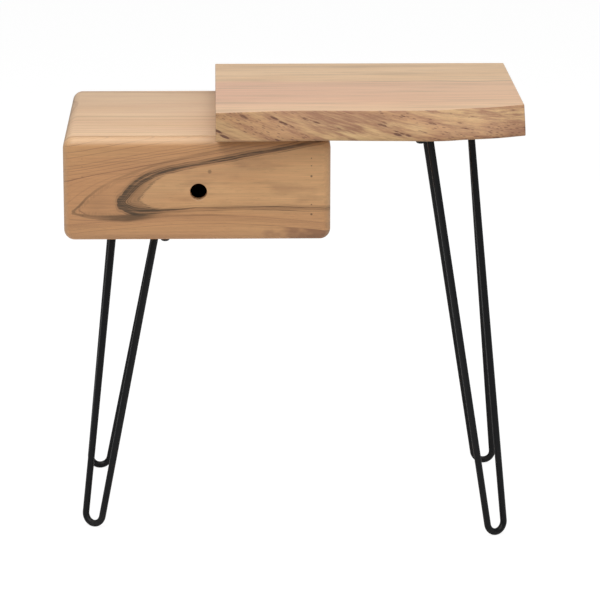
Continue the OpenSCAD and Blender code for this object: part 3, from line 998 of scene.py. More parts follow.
def pick_edges(piece: bpy.types.Object, mesh: bmesh.types.BMesh, test: EdgeTest) -> None:
    """Select the edges whose two ends pass a test.

    Args:
        piece: The object, in edit mode.
        mesh: Its edit mesh.
        test: Tells from an edge's two ends whether it is picked.
    """
    for edge in mesh.edges:
        edge.select_set(test(edge.verts[0].co, edge.verts[1].co))
    bmesh.update_edit_mesh(piece.data)


def settle(piece: bpy.types.Object, name: str) -> bpy.types.Object:
    """Name a new object and put its place, turn and size into its mesh.

    Args:
        piece: The new object.
        name: Its name.

    Returns:
        The same object.
    """
    piece.name = name
    piece.data.name = name
    active_only(piece)
    bpy.ops.object.transform_apply(location=True, rotation=True, scale=True)
    return piece


def block(name: str, low: Vector, high: Vector) -> bpy.types.Object:
    """Add a cube between two corners, as the start of a board.

    Args:
        name: The board's name.
        low: Its lowest corner.
        high: Its highest corner.

    Returns:
        The board.
    """
    bpy.ops.object.select_all(action="DESELECT")
    bpy.ops.mesh.primitive_cube_add(size=1, location=(low + high) / 2, scale=high - low)
    return settle(bpy.context.object, name)


def rod(name: str, radius: float, low: Vector, high: Vector, sides: int = 32) -> bpy.types.Object:
    """Add a cylinder between two points, as the start of a turned piece.

    Args:
        name: The piece's name.
        radius: Its radius.
        low: The middle of one end.
        high: The middle of the other end.
        sides: Facets around it.

    Returns:
        The piece.
    """
    bpy.ops.object.select_all(action="DESELECT")
    run = high - low
    turn = run.to_track_quat("Z", "Y").to_euler()
    bpy.ops.mesh.primitive_cylinder_add(
        vertices=sides, radius=radius, depth=run.length, location=(low + high) / 2, rotation=turn
    )
    return settle(bpy.context.object, name)


def bevel(piece: bpy.types.Object, width: float, segments: int, test: EdgeTest) -> None:
    """Round the edges that pass a test.

    Args:
        piece: The object to shape.
        width: The rounding's radius.
        segments: Facets across the rounding.
        test: Tells from an edge's two ends whether it is rounded.
    """
    with editing(piece) as mesh:
        pick_edges(piece, mesh, test)
        bpy.ops.mesh.bevel(offset=width, offset_type="OFFSET", segments=segments, profile=0.5)


def soften(piece: bpy.types.Object, width: float = 0.0006, segments: int = 2, angle: float = 40.0) -> None:
    """Break every sharp arris and shade the piece smoothly.

    Args:
        piece: The object to finish.
        width: Width of the broken arris.
        segments: Facets across it.
        angle: Edges sharper than this many degrees are broken.
    """
    edge = piece.modifiers.new("arris", "BEVEL")
    edge.width = width
    edge.segments = segments
    edge.limit_method = "ANGLE"
    edge.angle_limit = math.radians(angle)
    edge.harden_normals = False
    active_only(piece)
    bpy.ops.object.modifier_apply(modifier=edge.name)
    smooth(piece)


def smooth(piece: bpy.types.Object, angle: float = 32.0) -> None:
    """Shade a piece smoothly except across sharp edges."""
    active_only(piece)
    bpy.ops.object.shade_smooth_by_angle(angle=math.radians(angle))


def cut(piece: bpy.types.Object, tool: bpy.types.Object) -> None:
    """Cut one object out of another and throw the tool away.

    Args:
        piece: The object to cut.
        tool: The shape to take away.
    """
    change = piece.modifiers.new("cut", "BOOLEAN")
    change.operation = "DIFFERENCE"
    change.solver = "EXACT"
    change.object = tool
    active_only(piece)
    bpy.ops.object.modifier_apply(modifier=change.name)
    bpy.data.objects.remove(tool)


def joined(name: str, pieces: list[bpy.types.Object]) -> bpy.types.Object:
    """Join several objects into one mesh.

    Args:
        name: The whole's name.
        pieces: The objects, of which the first is kept.

    Returns:
        The whole.
    """
    bpy.ops.object.select_all(action="DESELECT")
    for piece in pieces:
        piece.select_set(True)
    bpy.context.view_layer.objects.active = pieces[0]
    if len(pieces) > 1:
        bpy.ops.object.join()
    return settle(bpy.context.object, name)


def copied(piece: bpy.types.Object, placing: Matrix) -> bpy.types.Object:
    """Copy an object with its own mesh and place the copy.

    Args:
        piece: The object to copy.
        placing: Where the copy goes.

    Returns:
        The copy.
    """
    twin = piece.copy()
    twin.data = piece.data.copy()
    bpy.context.collection.objects.link(twin)
    twin.data.transform(placing)
    return twin


def from_node(node: str, name: str, width: float, angle: float = 40.0) -> bpy.types.Object:
    """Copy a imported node, merge its loose triangles into faces and break its arrises.

    Args:
        node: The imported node.
        name: The new piece's name.
        width: Width of the broken arrises.
        angle: Edges sharper than this many degrees are broken.

    Returns:
        The finished piece.
    """
    piece = copied(frame["nodes"][node], Matrix.Identity(4))
    piece.name = name
    piece.parent = None
    piece.hide_render = False
    piece.hide_viewport = False
    piece.data.materials.clear()
    with editing(piece, "VERT"):
        bpy.ops.mesh.select_all(action="SELECT")
        bpy.ops.mesh.remove_doubles(threshold=0.00001)
        bpy.ops.mesh.normals_make_consistent(inside=False)
        bpy.ops.mesh.dissolve_limited(angle_limit=math.radians(0.5))
    soften(piece, width, 2, angle)
    return piece


def solids_of(node: str) -> list[Span]:
    """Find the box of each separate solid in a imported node, in a steady order.

    Args:
        node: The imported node.

    Returns:
        Each solid's lowest and highest corner.
    """
    mesh = frame["nodes"][node].data
    group: dict[tuple[int, int, int], int] = {}
    parent: list[int] = []

    def find(i: int) -> int:
        """Follow a place to the first one of its solid.

        Args:
            i: The place's number.

        Returns:
            The first one's number.
        """
        while parent[i] != i:
            parent[i] = parent[parent[i]]
            i = parent[i]
        return i

    def index(co: Vector) -> int:
        """Number each separate place once.

        Args:
            co: The place.

        Returns:
            Its number.
        """
        key = tuple(round(c * 1e6) for c in co)
        if key not in group:
            group[key] = len(parent)
            parent.append(len(parent))
        return group[key]

    places = [index(v.co) for v in mesh.vertices]
    for polygon in mesh.polygons:
        first = find(places[polygon.vertices[0]])
        for vertex in polygon.vertices[1:]:
            parent[find(places[vertex])] = first
    boxes: dict[int, list[Vector]] = {}
    for vertex, place in zip(mesh.vertices, places):
        low_high = boxes.setdefault(find(place), [vertex.co.copy(), vertex.co.copy()])
        for axis in range(3):
            low_high[0][axis] = min(low_high[0][axis], vertex.co[axis])
            low_high[1][axis] = max(low_high[1][axis], vertex.co[axis])
    spans = [(low, high) for low, high in boxes.values()]
    return sorted(spans, key=lambda span: tuple(round(c, 5) for c in span[0]))


def install(piece: bpy.types.Object, body: str, slot: str, finish: bpy.types.Material, *nodes: str) -> None:
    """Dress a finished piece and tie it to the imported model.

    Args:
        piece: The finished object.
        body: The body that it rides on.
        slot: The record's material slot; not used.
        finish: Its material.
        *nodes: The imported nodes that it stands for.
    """
    piece.data.materials.clear()
    piece.data.materials.append(finish)
    if nodes:
        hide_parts(*nodes)
    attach(piece, body)
    LOG.info("%s: %d faces, rides on %s", piece.name, len(piece.data.polygons), body)


def near(value: float, target: float, reach: float = 1e-5) -> bool:
    """Tell whether two lengths are the same."""
    return abs(value - target) < reach


# Sub-assemblies

def curve_through(points: list[tuple[float, float]], at: float) -> float:
    """Follow a smooth curve through points.

    Args:
        points: Places and values, in order.
        at: The place asked for.

    Returns:
        The value there.
    """
    last = len(points) - 1
    i = max(k for k in range(last) if k == 0 or at >= points[k][0])

    def slope(k: int) -> float:
        """Return the curve's slope at one point."""
        before, after = points[max(k - 1, 0)], points[min(k + 1, last)]
        return (after[1] - before[1]) / (after[0] - before[0])

    span = points[i + 1][0] - points[i][0]
    t = (at - points[i][0]) / span
    return (
        points[i][1] * (2 * t**3 - 3 * t**2 + 1)
        + points[i + 1][1] * (3 * t**2 - 2 * t**3)
        + slope(i) * span * (t**3 - 2 * t**2 + t)
        + slope(i + 1) * span * (t**3 - t**2)
    )


LIVE_EDGE_LINE = [
    (0, 3), (0.2, 4.5), (0.36, 7), (0.5, 4), (0.62, 2), (0.68, 0), (0.74, 2), (0.8, 9), (0.9, 18), (1, 35)
]
LIVE_EDGE_SLANT = [(0, 5), (0.09, 10), (0.22, 17), (0.42, 15), (0.6, 18), (0.75, 24), (1, 25)]


@dataclass
class LiveEdgeSlab:
    """The slab with its natural front edge."""

    steps: int = 170
    rows: int = 16
    bulge: float = 1.4
    arris_rise: float = 0.05
    arris: float = 0.0015
    undulation: float = 0.0016
    line: list[tuple[float, float]] = field(default_factory=lambda: LIVE_EDGE_LINE)
    slant: list[tuple[float, float]] = field(default_factory=lambda: LIVE_EDGE_SLANT)

    def edge_y(self, low: Vector, high: Vector, x: float, z: float) -> float:
        """Tell where the live edge lies at one place and height.

        Args:
            low: The slab's lowest corner.
            high: Its highest corner.
            x: The place along the slab.
            z: The height.

        Returns:
            The edge's y.
        """
        along = (x - low.x) / (high.x - low.x)
        up = (z - low.z) / (high.z - low.z)
        rise = max(0.0, (up - self.arris_rise) / (1 - self.arris_rise))
        base = low.y + curve_through(self.line, along) * MILLIMETRE
        turned_under = self.arris * max(0.0, 1 - up / self.arris_rise)
        hollow = 0.5 + 0.5 * noise.noise(Vector((x * 30 + z * 12, z * 55, 3.0)))
        fine = 0.5 + 0.5 * noise.noise(Vector((x * 95 + z * 60, z * 150, 7.0)))
        dent = self.undulation * (0.75 * hollow + 0.25 * fine) * math.sin(math.pi * min(1.0, max(0.0, up)))
        return base + curve_through(self.slant, along) * MILLIMETRE * rise**self.bulge + turned_under + dent

    def build(self) -> None:
        """Model the slab and dress it."""
        low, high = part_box("live_edge_slab")
        piece = block("slab", low, high)
        with editing(piece) as mesh:
            pick_edges(piece, mesh, lambda a, b: not near(a.x, b.x))
            bpy.ops.mesh.subdivide(number_cuts=self.steps)
        with editing(piece) as mesh:
            pick_edges(piece, mesh, lambda a, b: near(a.y, low.y) and near(b.y, low.y) and not near(a.z, b.z))
            bpy.ops.mesh.subdivide(number_cuts=self.rows)
        for vertex in piece.data.vertices:
            if near(vertex.co.y, low.y):
                vertex.co.y = self.edge_y(low, high, vertex.co.x, vertex.co.z)
        soften(piece, 0.0009, 3, 42)
        finish = SlabTimber(
            name="slab_wood",
            palette=SLAB_PALETTE,
            pith=(low.y + 0.27, high.z - 0.26),
            ring=0.0085,
            contrast=0.22,
            wander=0.02,
            seed=4.0,
            start=low.x,
            length=high.x - low.x,
            foot=low.z,
            thickness=high.z - low.z,
            depth=(low.y, high.y),
        ).build()
        install(piece, TABLE, "slab_wood", finish, "live_edge_slab")


@dataclass
class Screw:
    """A screw that is modelled once, its seat at the origin and its point along +Z."""

    shank: float
    head: float
    length: float
    dome: float = 0.0
    recess: float = 0.0022

    def cross(self, reach: float, top: float) -> list[bpy.types.Object]:
        """Make the two blades that cut a cross recess.

        Args:
            reach: Half the cross's width.
            top: The height of the head's outer face.

        Returns:
            The two cutters.
        """
        blade = reach * 0.26
        low_high = [
            (Vector((-reach, -blade, top - self.recess)), Vector((reach, blade, top + self.recess))),
            (Vector((-blade, -reach, top - self.recess)), Vector((blade, reach, top + self.recess))),
        ]
        return [block("blade", low, high) for low, high in low_high]

    def model(self) -> bpy.types.Object:
        """Model the screw.

        Returns:
            The screw.
        """
        if self.dome:
            head = rod("head", self.head / 2, Vector((0, 0, -self.dome)), Vector((0, 0, 0)), 40)
            bevel(
                head,
                self.dome * 0.86,
                8,
                lambda a, b: near(a.z, -self.dome) and near(b.z, -self.dome),
            )
        else:
            depth = (self.head - self.shank) / 2
            head = rod("head", self.head / 2, Vector((0, 0, 0)), Vector((0, 0, depth)), 40)
            for vertex in head.data.vertices:
                if vertex.co.z > depth / 2:
                    vertex.co.xy *= self.shank / self.head
        outer = -self.dome
        for blade in self.cross(self.head * 0.27, outer):
            cut(head, blade)
        shank = rod("shank", self.shank / 2, Vector((0, 0, 0)), Vector((0, 0, self.length)), 24)
        with editing(shank) as mesh:
            pick_edges(shank, mesh, lambda a, b: near(a.z, self.length) and near(b.z, self.length))
            bpy.ops.mesh.bevel(offset=self.shank * 0.4, offset_type="OFFSET", segments=1)
        whole = joined("screw", [head, shank])
        smooth(whole, 35)
        return whole

    def placed(self, name: str, placings: list[Matrix]) -> bpy.types.Object:
        """Copy the screw to every place and join the copies.

        Args:
            name: The new piece's name.
            placings: Where each screw goes.

        Returns:
            All the screws as one piece.
        """
        first = self.model()
        copies = [copied(first, placing) for placing in placings]
        bpy.data.objects.remove(first)
        return joined(name, copies)


@dataclass
class Nail:
    """A wire nail that is modelled once, its head at the origin and its point along +Z."""

    shank: float = 0.0018
    head: float = 0.0030
    thickness: float = 0.0006
    point: float = 0.0025

    def model(self, length: float) -> bpy.types.Object:
        """Model the nail.

        Args:
            length: From the head's face to the point.

        Returns:
            The nail.
        """
        head = rod("head", self.head / 2, Vector((0, 0, 0)), Vector((0, 0, self.thickness)), 24)
        bevel(head, self.thickness * 0.5, 3, lambda a, b: near(a.z, 0.0) and near(b.z, 0.0))
        shank = rod("shank", self.shank / 2, Vector((0, 0, 0)), Vector((0, 0, length - self.point)), 16)
        tip_z = length - self.point
        tip = rod("point", self.shank / 2, Vector((0, 0, tip_z)), Vector((0, 0, length)), 16)
        for vertex in tip.data.vertices:
            if vertex.co.z > tip_z + self.point / 2:
                vertex.co.xy *= 0.12
        whole = joined("nail", [head, shank, tip])
        smooth(whole, 35)
        return whole

    def placed(
        self, node: str, name: str, outward: Callable[[Vector], Vector], sink: float
    ) -> bpy.types.Object:
        """Copy the nail to every packed nail's place and join the copies.

        Args:
            node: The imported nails.
            name: The new piece's name.
            outward: Tells from a nail's middle which way its head faces.
            sink: How far the heads lie below the nails' packed ends.

        Returns:
            All the nails as one piece.
        """
        copies = []
        for low, high in solids_of(node):
            middle = (low + high) / 2
            way = outward(middle)
            half = abs((high - low).dot(way)) / 2
            first = self.model(2 * half - sink)
            turn = (-way).to_track_quat("Z", "Y").to_matrix().to_4x4()
            copies.append(copied(first, Matrix.Translation(middle + way * (half - sink)) @ turn))
            bpy.data.objects.remove(first)
        return joined(name, copies)


@dataclass
class DrawerBox:
    """The fixed box: its boards, runners, stop and fasteners."""

    edge_radius: float = 0.014
    finishes: dict[str, bpy.types.Material] = field(default_factory=dict)

    def dress(self) -> None:
        """Make the box's materials."""
        low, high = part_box("carcass_top")
        outer, inner = BOX_PALETTE, INNER_PALETTE
        along, across, upright = Grain
        self.finishes = timbers(
            {
                "box_top": (TOP_PALETTE, along, (low.y + 0.22, high.z - 0.30), 0.0075, 0.42, 0.012, 1.0),
                "box_bottom": (outer, along, (low.y + 0.10, high.z - 0.45), 0.009, 0.4, 0.016, 6.0),
                "box_left": (outer, across, (low.x - 0.05, high.z - 0.03), 0.008, 0.4, 0.012, 9.0),
                "box_right": (outer, across, (high.x + 0.06, high.z - 0.09), 0.008, 0.4, 0.012, 13.0),
                "back_panel": (inner, along, (0.10, high.z + 0.05), 0.010, 0.35, 0.02, 17.0),
                "strip": (inner, across, (0.0, high.z - 0.20), 0.006, 0.3, 0.008, 21.0),
                "dowel": (inner, upright, (0.02, 0.03), 0.004, 0.3, 0.004, 25.0),
            }
        )

    def install_copy(self, node: str, finish: str) -> None:
        """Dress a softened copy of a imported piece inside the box."""
        piece = from_node(node, node + "_wood", 0.0005)
        install(piece, TABLE, "inner_wood", self.finishes[finish], node)

    def outer_board(self, node: str, name: str, outer_z: float) -> None:
        """Model the top or the bottom, whose two long outer edges are rounded.

        Args:
            node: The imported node.
            name: The piece's name, and its material's.
            outer_z: Height of the outer face.
        """
        low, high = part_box(node)
        piece = block(name, low, high)
        bevel(
            piece,
            self.edge_radius,
            12,
            lambda a, b: near(a.z, outer_z) and near(b.z, outer_z) and near(a.x, b.x),
        )
        cut(piece, self.rabbet())
        soften(piece, 0.0007)
        install(piece, TABLE, "box_wood", self.finishes[name], node)

    def rabbet(self) -> bpy.types.Object:
        """Make the tool that cuts the back panel's seat."""
        low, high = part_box("back_panel")
        return block("rabbet", low, high + Vector((0, 0.01, 0)))

    def side(self, hand: str) -> None:
        """Model the left or the right side board.

        Args:
            hand: Which side, left or right.
        """
        node = f"carcass_{hand}_side"
        piece = block(f"box_{hand}_side", *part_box(node))
        cut(piece, self.rabbet())
        soften(piece, 0.0005)
        install(piece, TABLE, "box_wood", self.finishes[f"box_{hand}"], node)

    def build(self) -> None:
        """Model the box and dress it."""
        self.dress()
        self.outer_board("carcass_top", "box_top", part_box("carcass_top")[1].z)
        self.outer_board("carcass_bottom", "box_bottom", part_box("carcass_bottom")[0].z)
        self.side("left")
        self.side("right")
        self.install_copy("back_panel", "back_panel")
        for node in ("left_runner", "right_runner", "drawer_stop"):
            self.install_copy(node, "strip")
        dowels = frame["nodes"]["carcass_dowels"].data.materials
        dowels.clear()
        dowels.append(self.finishes["dowel"])


@dataclass
class Drawer:
    """The sliding drawer."""

    corner_radius: float = 0.014
    arris: float = 0.012
    hole_radius: float = 0.011
    hole_break: float = 0.001

    def front(self) -> None:
        """Model the drawer front with its rounded arrises and finger hole."""
        low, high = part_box("drawer_front")
        piece = block("drawer_face", low, high)
        bevel(piece, self.corner_radius, 12, lambda a, b: near(a.x, b.x) and near(a.z, b.z))
        bevel(piece, self.arris, 10, lambda a, b: near(a.y, low.y) and near(b.y, low.y))
        hole = next(o for o in frame["record"]["physics"]["openings"] if o["name"] == "finger_hole")
        corners = [Vector(c) for c in hole["box_m"]]
        centre = (corners[0] + corners[1]) / 2
        start = Vector((centre.x, low.y - 0.01, centre.z))
        end = Vector((centre.x, high.y + 0.01, centre.z))
        cut(piece, rod("bit", self.hole_radius, start, end, 72))

        def on_rim(a: Vector, b: Vector) -> bool:
            """Tell whether an edge lies on one of the hole's two rims."""
            reach = [math.hypot(c.x - centre.x, c.z - centre.z) for c in (a, b)]
            return near(a.y, b.y) and all(near(r, self.hole_radius, 1e-4) for r in reach)

        bevel(piece, self.hole_break, 3, on_rim)
        smooth(piece, 30)
        nails = [((a + b) / 2).xz for a, b in solids_of("drawer_front_nails")]
        box_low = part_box("carcass_bottom")[0]
        finish = CathedralFront(
            name="drawer_front_wood",
            palette=BOX_PALETTE,
            seed=2.0,
            left=box_low.x,
            foot=box_low.z,
            plugs=tuple((p.x, p.y) for p in nails),
        ).build()
        install(piece, DRAWER, "box_wood", finish, "drawer_front")

    def build(self) -> None:
        """Model the drawer and dress it."""
        self.front()
        low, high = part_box("drawer_bottom")
        inner = INNER_PALETTE
        along, across, _ = Grain
        finishes = timbers(
            {
                "drawer_side": (inner, across, (0.02, high.z + 0.12), 0.007, 0.35, 0.012, 31.0),
                "drawer_back": (inner, along, (high.y + 0.05, high.z + 0.10), 0.008, 0.35, 0.012, 37.0),
                "drawer_bottom": (inner, along, (low.y + 0.12, high.z - 0.5), 0.012, 0.35, 0.02, 41.0),
            }
        )
        for node in ("drawer_left_side", "drawer_right_side", "drawer_back", "drawer_bottom"):
            piece = from_node(node, node + "_wood", 0.0005)
            finish = finishes["drawer_side" if node.endswith("side") else node]
            install(piece, DRAWER, "inner_wood", finish, node)


@dataclass
class HairpinLegs:
    """The four bent rods with their welds and plates."""

    rod_radius: float = 0.0045
    loop_radius: float = 0.0135
    sides: int = 32
    loop_steps: int = 32
    weld: float = 0.0015

    def ends(self, node: str) -> tuple[Vector, Vector, Vector]:
        """Find a packed leg's two tops and its foot.

        Args:
            node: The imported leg.

        Returns:
            The centre of each top, and the lowest point of the centre line.
        """
        low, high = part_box(node)
        places = [v.co for v in frame["nodes"][node].data.vertices]
        rim = [p for p in places if near(p.z, high.z)]
        middle = (min(p.x for p in rim) + max(p.x for p in rim)) / 2
        tops = []
        for group in ([p for p in rim if p.x < middle], [p for p in rim if p.x >= middle]):
            low_xy = Vector((min(p.x for p in group), min(p.y for p in group)))
            high_xy = Vector((max(p.x for p in group), max(p.y for p in group)))
            tops.append(((low_xy + high_xy) / 2).to_3d() + Vector((0, 0, high.z)))
        lowest = [p for p in places if near(p.z, low.z, 1e-4)]
        foot = sum(lowest, Vector()) / len(lowest)
        foot.z = low.z + self.rod_radius
        return tops[0], tops[1], foot

    def bent_rod(self, node: str, name: str) -> bpy.types.Object:
        """Model one hairpin: a round section drawn down, spun around the loop and drawn up again.

        Args:
            node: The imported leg.
            name: The piece's name.

        Returns:
            The rod.
        """
        first, second, foot = self.ends(node)
        line = (second - first).normalized()
        top = (first + second) / 2
        half = (second - first).length / 2
        lean = foot - top
        loop_x = lean.dot(line)
        fall = lean - line * loop_x
        down = fall.normalized()
        loop_y = fall.length - self.loop_radius
        across = line.cross(down)

        def heading(side: int) -> tuple[float, float]:
            """Work out which way one shank runs.

            Args:
                side: 1 for the shank that is drawn first, and -1 for the other.

            Returns:
                The angle in the loop's plane, and the length.
            """
            run = Vector((loop_x - side * half, loop_y))
            angle = math.atan2(run.y, run.x) - side * math.asin(self.loop_radius / run.length)
            return angle, math.sqrt(run.length_squared - self.loop_radius**2)

        (angle_a, length_a), (angle_b, length_b) = heading(1), heading(-1)
        way_a = line * math.cos(angle_a) + down * math.sin(angle_a)
        way_b = line * math.cos(angle_b) + down * math.sin(angle_b)
        overrun = 2.5 * self.rod_radius
        start = second - way_a * overrun
        bpy.ops.object.select_all(action="DESELECT")
        bpy.ops.mesh.primitive_circle_add(
            vertices=self.sides,
            radius=self.rod_radius,
            location=start,
            rotation=way_a.to_track_quat("Z", "Y").to_euler(),
        )
        piece = settle(bpy.context.object, name)
        centre = top + line * loop_x + down * loop_y
        with editing(piece):
            bpy.ops.mesh.select_all(action="SELECT")
            bpy.ops.mesh.extrude_edges_move(
                TRANSFORM_OT_translate={"value": way_a * (length_a + overrun), "orient_type": "GLOBAL"}
            )
            bpy.ops.mesh.spin(
                steps=self.loop_steps,
                angle=math.pi + (angle_b - angle_a),
                center=centre,
                axis=-across,
                use_auto_merge=False,
            )
            bpy.ops.mesh.extrude_edges_move(
                TRANSFORM_OT_translate={"value": -way_b * (length_b + overrun), "orient_type": "GLOBAL"}
            )
        with editing(piece):
            bpy.ops.mesh.select_all(action="SELECT")
            bpy.ops.mesh.remove_doubles(threshold=0.00001)
            bpy.ops.mesh.select_all(action="SELECT")
            bpy.ops.mesh.bisect(
                plane_co=top, plane_no=Vector((0, 0, 1)), use_fill=True, clear_outer=True, threshold=0.000001
            )
            bpy.ops.mesh.select_all(action="SELECT")
            bpy.ops.mesh.normals_make_consistent(inside=False)
        smooth(piece, 40)
        return piece

    def weld_bead(self, name: str, top: Vector) -> bpy.types.Object:
        """Model the rippled bead around a rod's top, under its plate.

        Args:
            name: The bead's name.
            top: The middle of the rod's top.

        Returns:
            The bead.
        """
        bpy.ops.object.select_all(action="DESELECT")
        bpy.ops.mesh.primitive_torus_add(
            major_segments=64,
            minor_segments=12,
            major_radius=self.rod_radius + self.weld * 0.5,
            minor_radius=self.weld,
            location=top,
        )
        bead = settle(bpy.context.object, name)
        for vertex in bead.data.vertices:
            away = vertex.co - top
            angle = math.atan2(away.y, away.x)
            ripple = 1.0 + 0.10 * math.sin(angle * 14) + 0.06 * math.sin(angle * 3 + top.x * 50)
            spread = 0.94 + 0.06 * ripple
            vertex.co = top + Vector((away.x * spread, away.y * spread, away.z * ripple))
        with editing(bead):
            bpy.ops.mesh.select_all(action="SELECT")
            bpy.ops.mesh.bisect(plane_co=top, plane_no=Vector((0, 0, 1)), use_fill=True, clear_outer=True)
        smooth(bead, 60)
        return bead

    def build(self) -> None:
        """Model the legs and dress them."""
        finish = PowderCoat("black_powder_coat").build()
        for place in ("front_left", "front_right", "back_left", "back_right"):
            leg = place + "_leg"
            piece = self.bent_rod(leg, place + "_rod")
            install(piece, TABLE, "black_steel", finish, leg)
            first, second, _ = self.ends(leg)
            beads = [self.weld_bead("bead", top) for top in (first, second)]
            install(joined(place + "_welds", beads), TABLE, "black_steel", finish)
            plate = from_node(leg + "_plate", place + "_plate", 0.0004)
            install(plate, TABLE, "black_steel", finish, leg + "_plate")


@dataclass
class Fasteners:
    """Every screw and nail."""

    def build(self) -> None:
        """Model the fasteners and dress them."""
        black = PowderCoat("black_screw", dust=(0.07, 0.065, 0.06)).build()
        zinc = ZincPlate("zinc_plate").build()
        domed = Screw(shank=0.0045, head=0.0125, length=0.0155, dome=0.0045)
        for side in ("left", "right"):
            node = side + "_leg_screws"
            places = [Matrix.Translation(self.axis_point(s, 0.0045)) for s in solids_of(node)]
            turned = [m @ Matrix.Rotation(0.7 * i, 4, "Z") for i, m in enumerate(places)]
            install(domed.placed(side + "_leg_domed_screws", turned), TABLE, "black_steel", black, node)
        up = {
            "slab_screws": Screw(shank=0.005, head=0.0095, length=0.042),
            "drawer_stop_screw": Screw(shank=0.004, head=0.0076, length=0.022),
        }
        for node, screw in up.items():
            places = [Matrix.Translation(self.axis_point(s, 0.0)) for s in solids_of(node)]
            install(screw.placed(node + "_cross_head", places), TABLE, "plated_steel", zinc, node)
        self.runner_screws(zinc)
        self.nails(zinc)

    @staticmethod
    def nails(zinc: bpy.types.Material) -> None:
        """Model the nails of the back panel and of the drawer's corners.

        Args:
            zinc: The nails' material.
        """
        nail = Nail()
        centre_x = sum(v.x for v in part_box("drawer_bottom")) / 2
        back = nail.placed("back_panel_nails", "panel_nails", lambda p: Vector((0, 1, 0)), -0.0002)
        install(back, TABLE, "plated_steel", zinc, "back_panel_nails")
        front = nail.placed("drawer_front_nails", "front_nails", lambda p: Vector((0, -1, 0)), 0.0016)
        install(front, DRAWER, "plated_steel", zinc, "drawer_front_nails")
        sides = nail.placed(
            "drawer_back_nails", "corner_nails", lambda p: Vector((-1 if p.x < centre_x else 1, 0, 0)), 0.0
        )
        install(sides, DRAWER, "plated_steel", zinc, "drawer_back_nails")

    @staticmethod
    def axis_point(span: Span, rise: float) -> Vector:
        """Find a point on an upright screw's axis.

        Args:
            span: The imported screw's box.
            rise: How far the point lies above the screw's lowest end.

        Returns:
            The point.
        """
        low, high = span
        middle = (low + high) / 2
        return Vector((middle.x, middle.y, low.z + rise))

    @staticmethod
    def runner_screws(zinc: bpy.types.Material) -> None:
        """Model the six screws that hold the runners, whose heads face the drawer.

        Args:
            zinc: The screws' material.
        """
        screw = Screw(shank=0.003, head=0.0056, length=0.015, recess=0.0012)
        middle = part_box("drawer_stop_screw")
        centre_x = (middle[0].x + middle[1].x) / 2
        placings = []
        for low, high in solids_of("runner_screws"):
            centre = (low + high) / 2
            left = centre.x < centre_x
            seat = Vector((high.x if left else low.x, centre.y, centre.z))
            turn = Matrix.Rotation(math.radians(-90 if left else 90), 4, "Y")
            placings.append(Matrix.Translation(seat) @ turn)
        install(screw.placed("runner_cross_heads", placings), TABLE, "plated_steel", zinc, "runner_screws")


# Studio

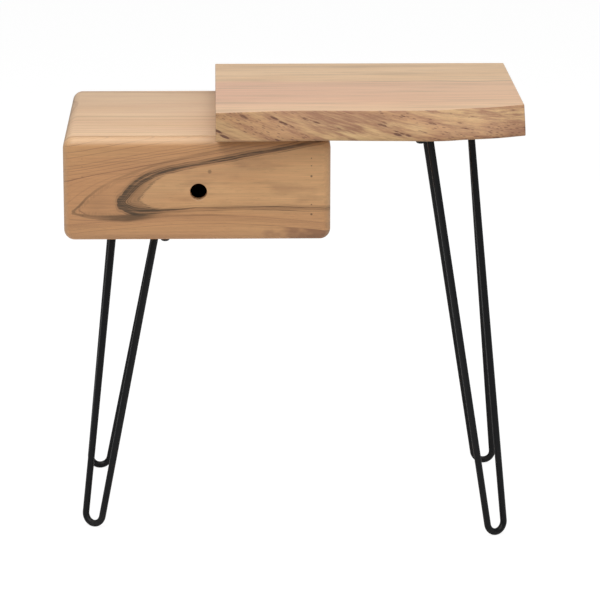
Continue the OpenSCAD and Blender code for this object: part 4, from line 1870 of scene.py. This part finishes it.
@dataclass
class Studio:
    """The floor, the lights and the camera."""

    eye: Vector = field(default_factory=lambda: Vector((-0.1039, -4.2143, 1.3579)))
    pitch: float = 14.33
    yaw: float = 1.57
    roll: float = 0.10
    lens: float = 192.0
    ambient: float = 0.34

    def floor(self) -> None:
        """Lay a plain pale floor."""
        bpy.ops.object.select_all(action="DESELECT")
        bpy.ops.mesh.primitive_plane_add(size=60, location=(0, 0, 0))
        ground = bpy.context.object
        ground.name = "studio_floor"
        graph = Graph("pale_floor")
        diffuse = graph.node("ShaderNodeBsdfDiffuse", {}, {"Color": (0.80, 0.80, 0.80, 1.0)})
        faint = graph.node("ShaderNodeBsdfDiffuse", {}, {"Color": (0.20, 0.20, 0.20, 1.0)})
        glow = graph.node("ShaderNodeEmission", {}, {"Color": (1.0, 1.0, 1.0, 1.0), "Strength": 0.90})
        both = graph.node("ShaderNodeAddShader", {}, {0: faint.outputs[0], 1: glow.outputs[0]})
        ray = graph.node("ShaderNodeLightPath", {}, {})
        seen = {0: ray.outputs["Is Camera Ray"], 1: diffuse.outputs[0], 2: both.outputs[0]}
        either = graph.node("ShaderNodeMixShader", {}, seen)
        graph.node("ShaderNodeOutputMaterial", {}, {0: either.outputs[0]})
        ground.data.materials.append(graph.material)

    @staticmethod
    def softbox(name: str, spot: Vector, aim: Vector, size: float, power: float) -> None:
        """Hang one square area light.

        Args:
            name: The light's name.
            spot: Where it hangs.
            aim: What it points at.
            size: The length of its side.
            power: Its power in watts.
        """
        lamp = bpy.data.lights.new(name, "AREA")
        lamp.size = size
        lamp.energy = power
        holder = bpy.data.objects.new(name, lamp)
        holder.location = spot
        holder.rotation_euler = (aim - spot).to_track_quat("-Z", "Y").to_euler()
        bpy.context.collection.objects.link(holder)

    def lights(self) -> None:
        """Light the table softly from above and in front."""
        world = bpy.data.worlds.new("studio")
        world.use_nodes = True
        tree = world.node_tree
        soft = tree.nodes["Background"]
        seen = tree.nodes.new("ShaderNodeBackground")
        for sky, strength in ((soft, self.ambient), (seen, 1.0)):
            sky.inputs["Color"].default_value = (1.0, 1.0, 1.0, 1.0)
            sky.inputs["Strength"].default_value = strength
        ray = tree.nodes.new("ShaderNodeLightPath")
        both = tree.nodes.new("ShaderNodeMixShader")
        tree.links.new(ray.outputs["Is Camera Ray"], both.inputs[0])
        tree.links.new(soft.outputs[0], both.inputs[1])
        tree.links.new(seen.outputs[0], both.inputs[2])
        tree.links.new(both.outputs[0], tree.nodes["World Output"].inputs[0])
        bpy.context.scene.world = world
        aim = Vector((0.0, 0.0, 0.45))
        self.softbox("key", Vector((-1.1, -1.5, 2.9)), aim, 1.6, 36)
        self.softbox("fill", Vector((1.6, -1.6, 2.4)), aim, 1.6, 14)
        self.softbox("top", Vector((0.1, 0.3, 2.9)), aim, 2.2, 34)
        bpy.context.scene.view_settings.view_transform = "Standard"

    def camera(self) -> None:
        """Set the camera up in front, looking down."""
        lens = bpy.data.cameras.new("camera")
        lens.lens = self.lens
        lens.sensor_width = 36.0
        lens.clip_end = 100.0
        holder = bpy.data.objects.new("camera", lens)
        holder.location = self.eye
        turn = (
            Matrix.Rotation(math.radians(-self.yaw), 4, "Z")
            @ Matrix.Rotation(math.radians(90 - self.pitch), 4, "X")
            @ Matrix.Rotation(math.radians(self.roll), 4, "Z")
        )
        holder.rotation_euler = turn.to_euler()
        bpy.context.collection.objects.link(holder)
        bpy.context.scene.camera = holder

    def build(self) -> None:
        """Set the studio up."""
        self.camera()
        self.lights()
        self.floor()


def write_size() -> None:
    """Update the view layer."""
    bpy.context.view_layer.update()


def main() -> None:
    """Build every part of the table in order."""
    logging.basicConfig(level=logging.INFO, format="%(message)s")
    for part in (Studio(), LiveEdgeSlab(), DrawerBox(), Drawer(), HairpinLegs(), Fasteners()):
        part.build()
        LOG.info("%s is done", type(part).__name__)
    write_size()


if __name__ == "__main__":
    main()
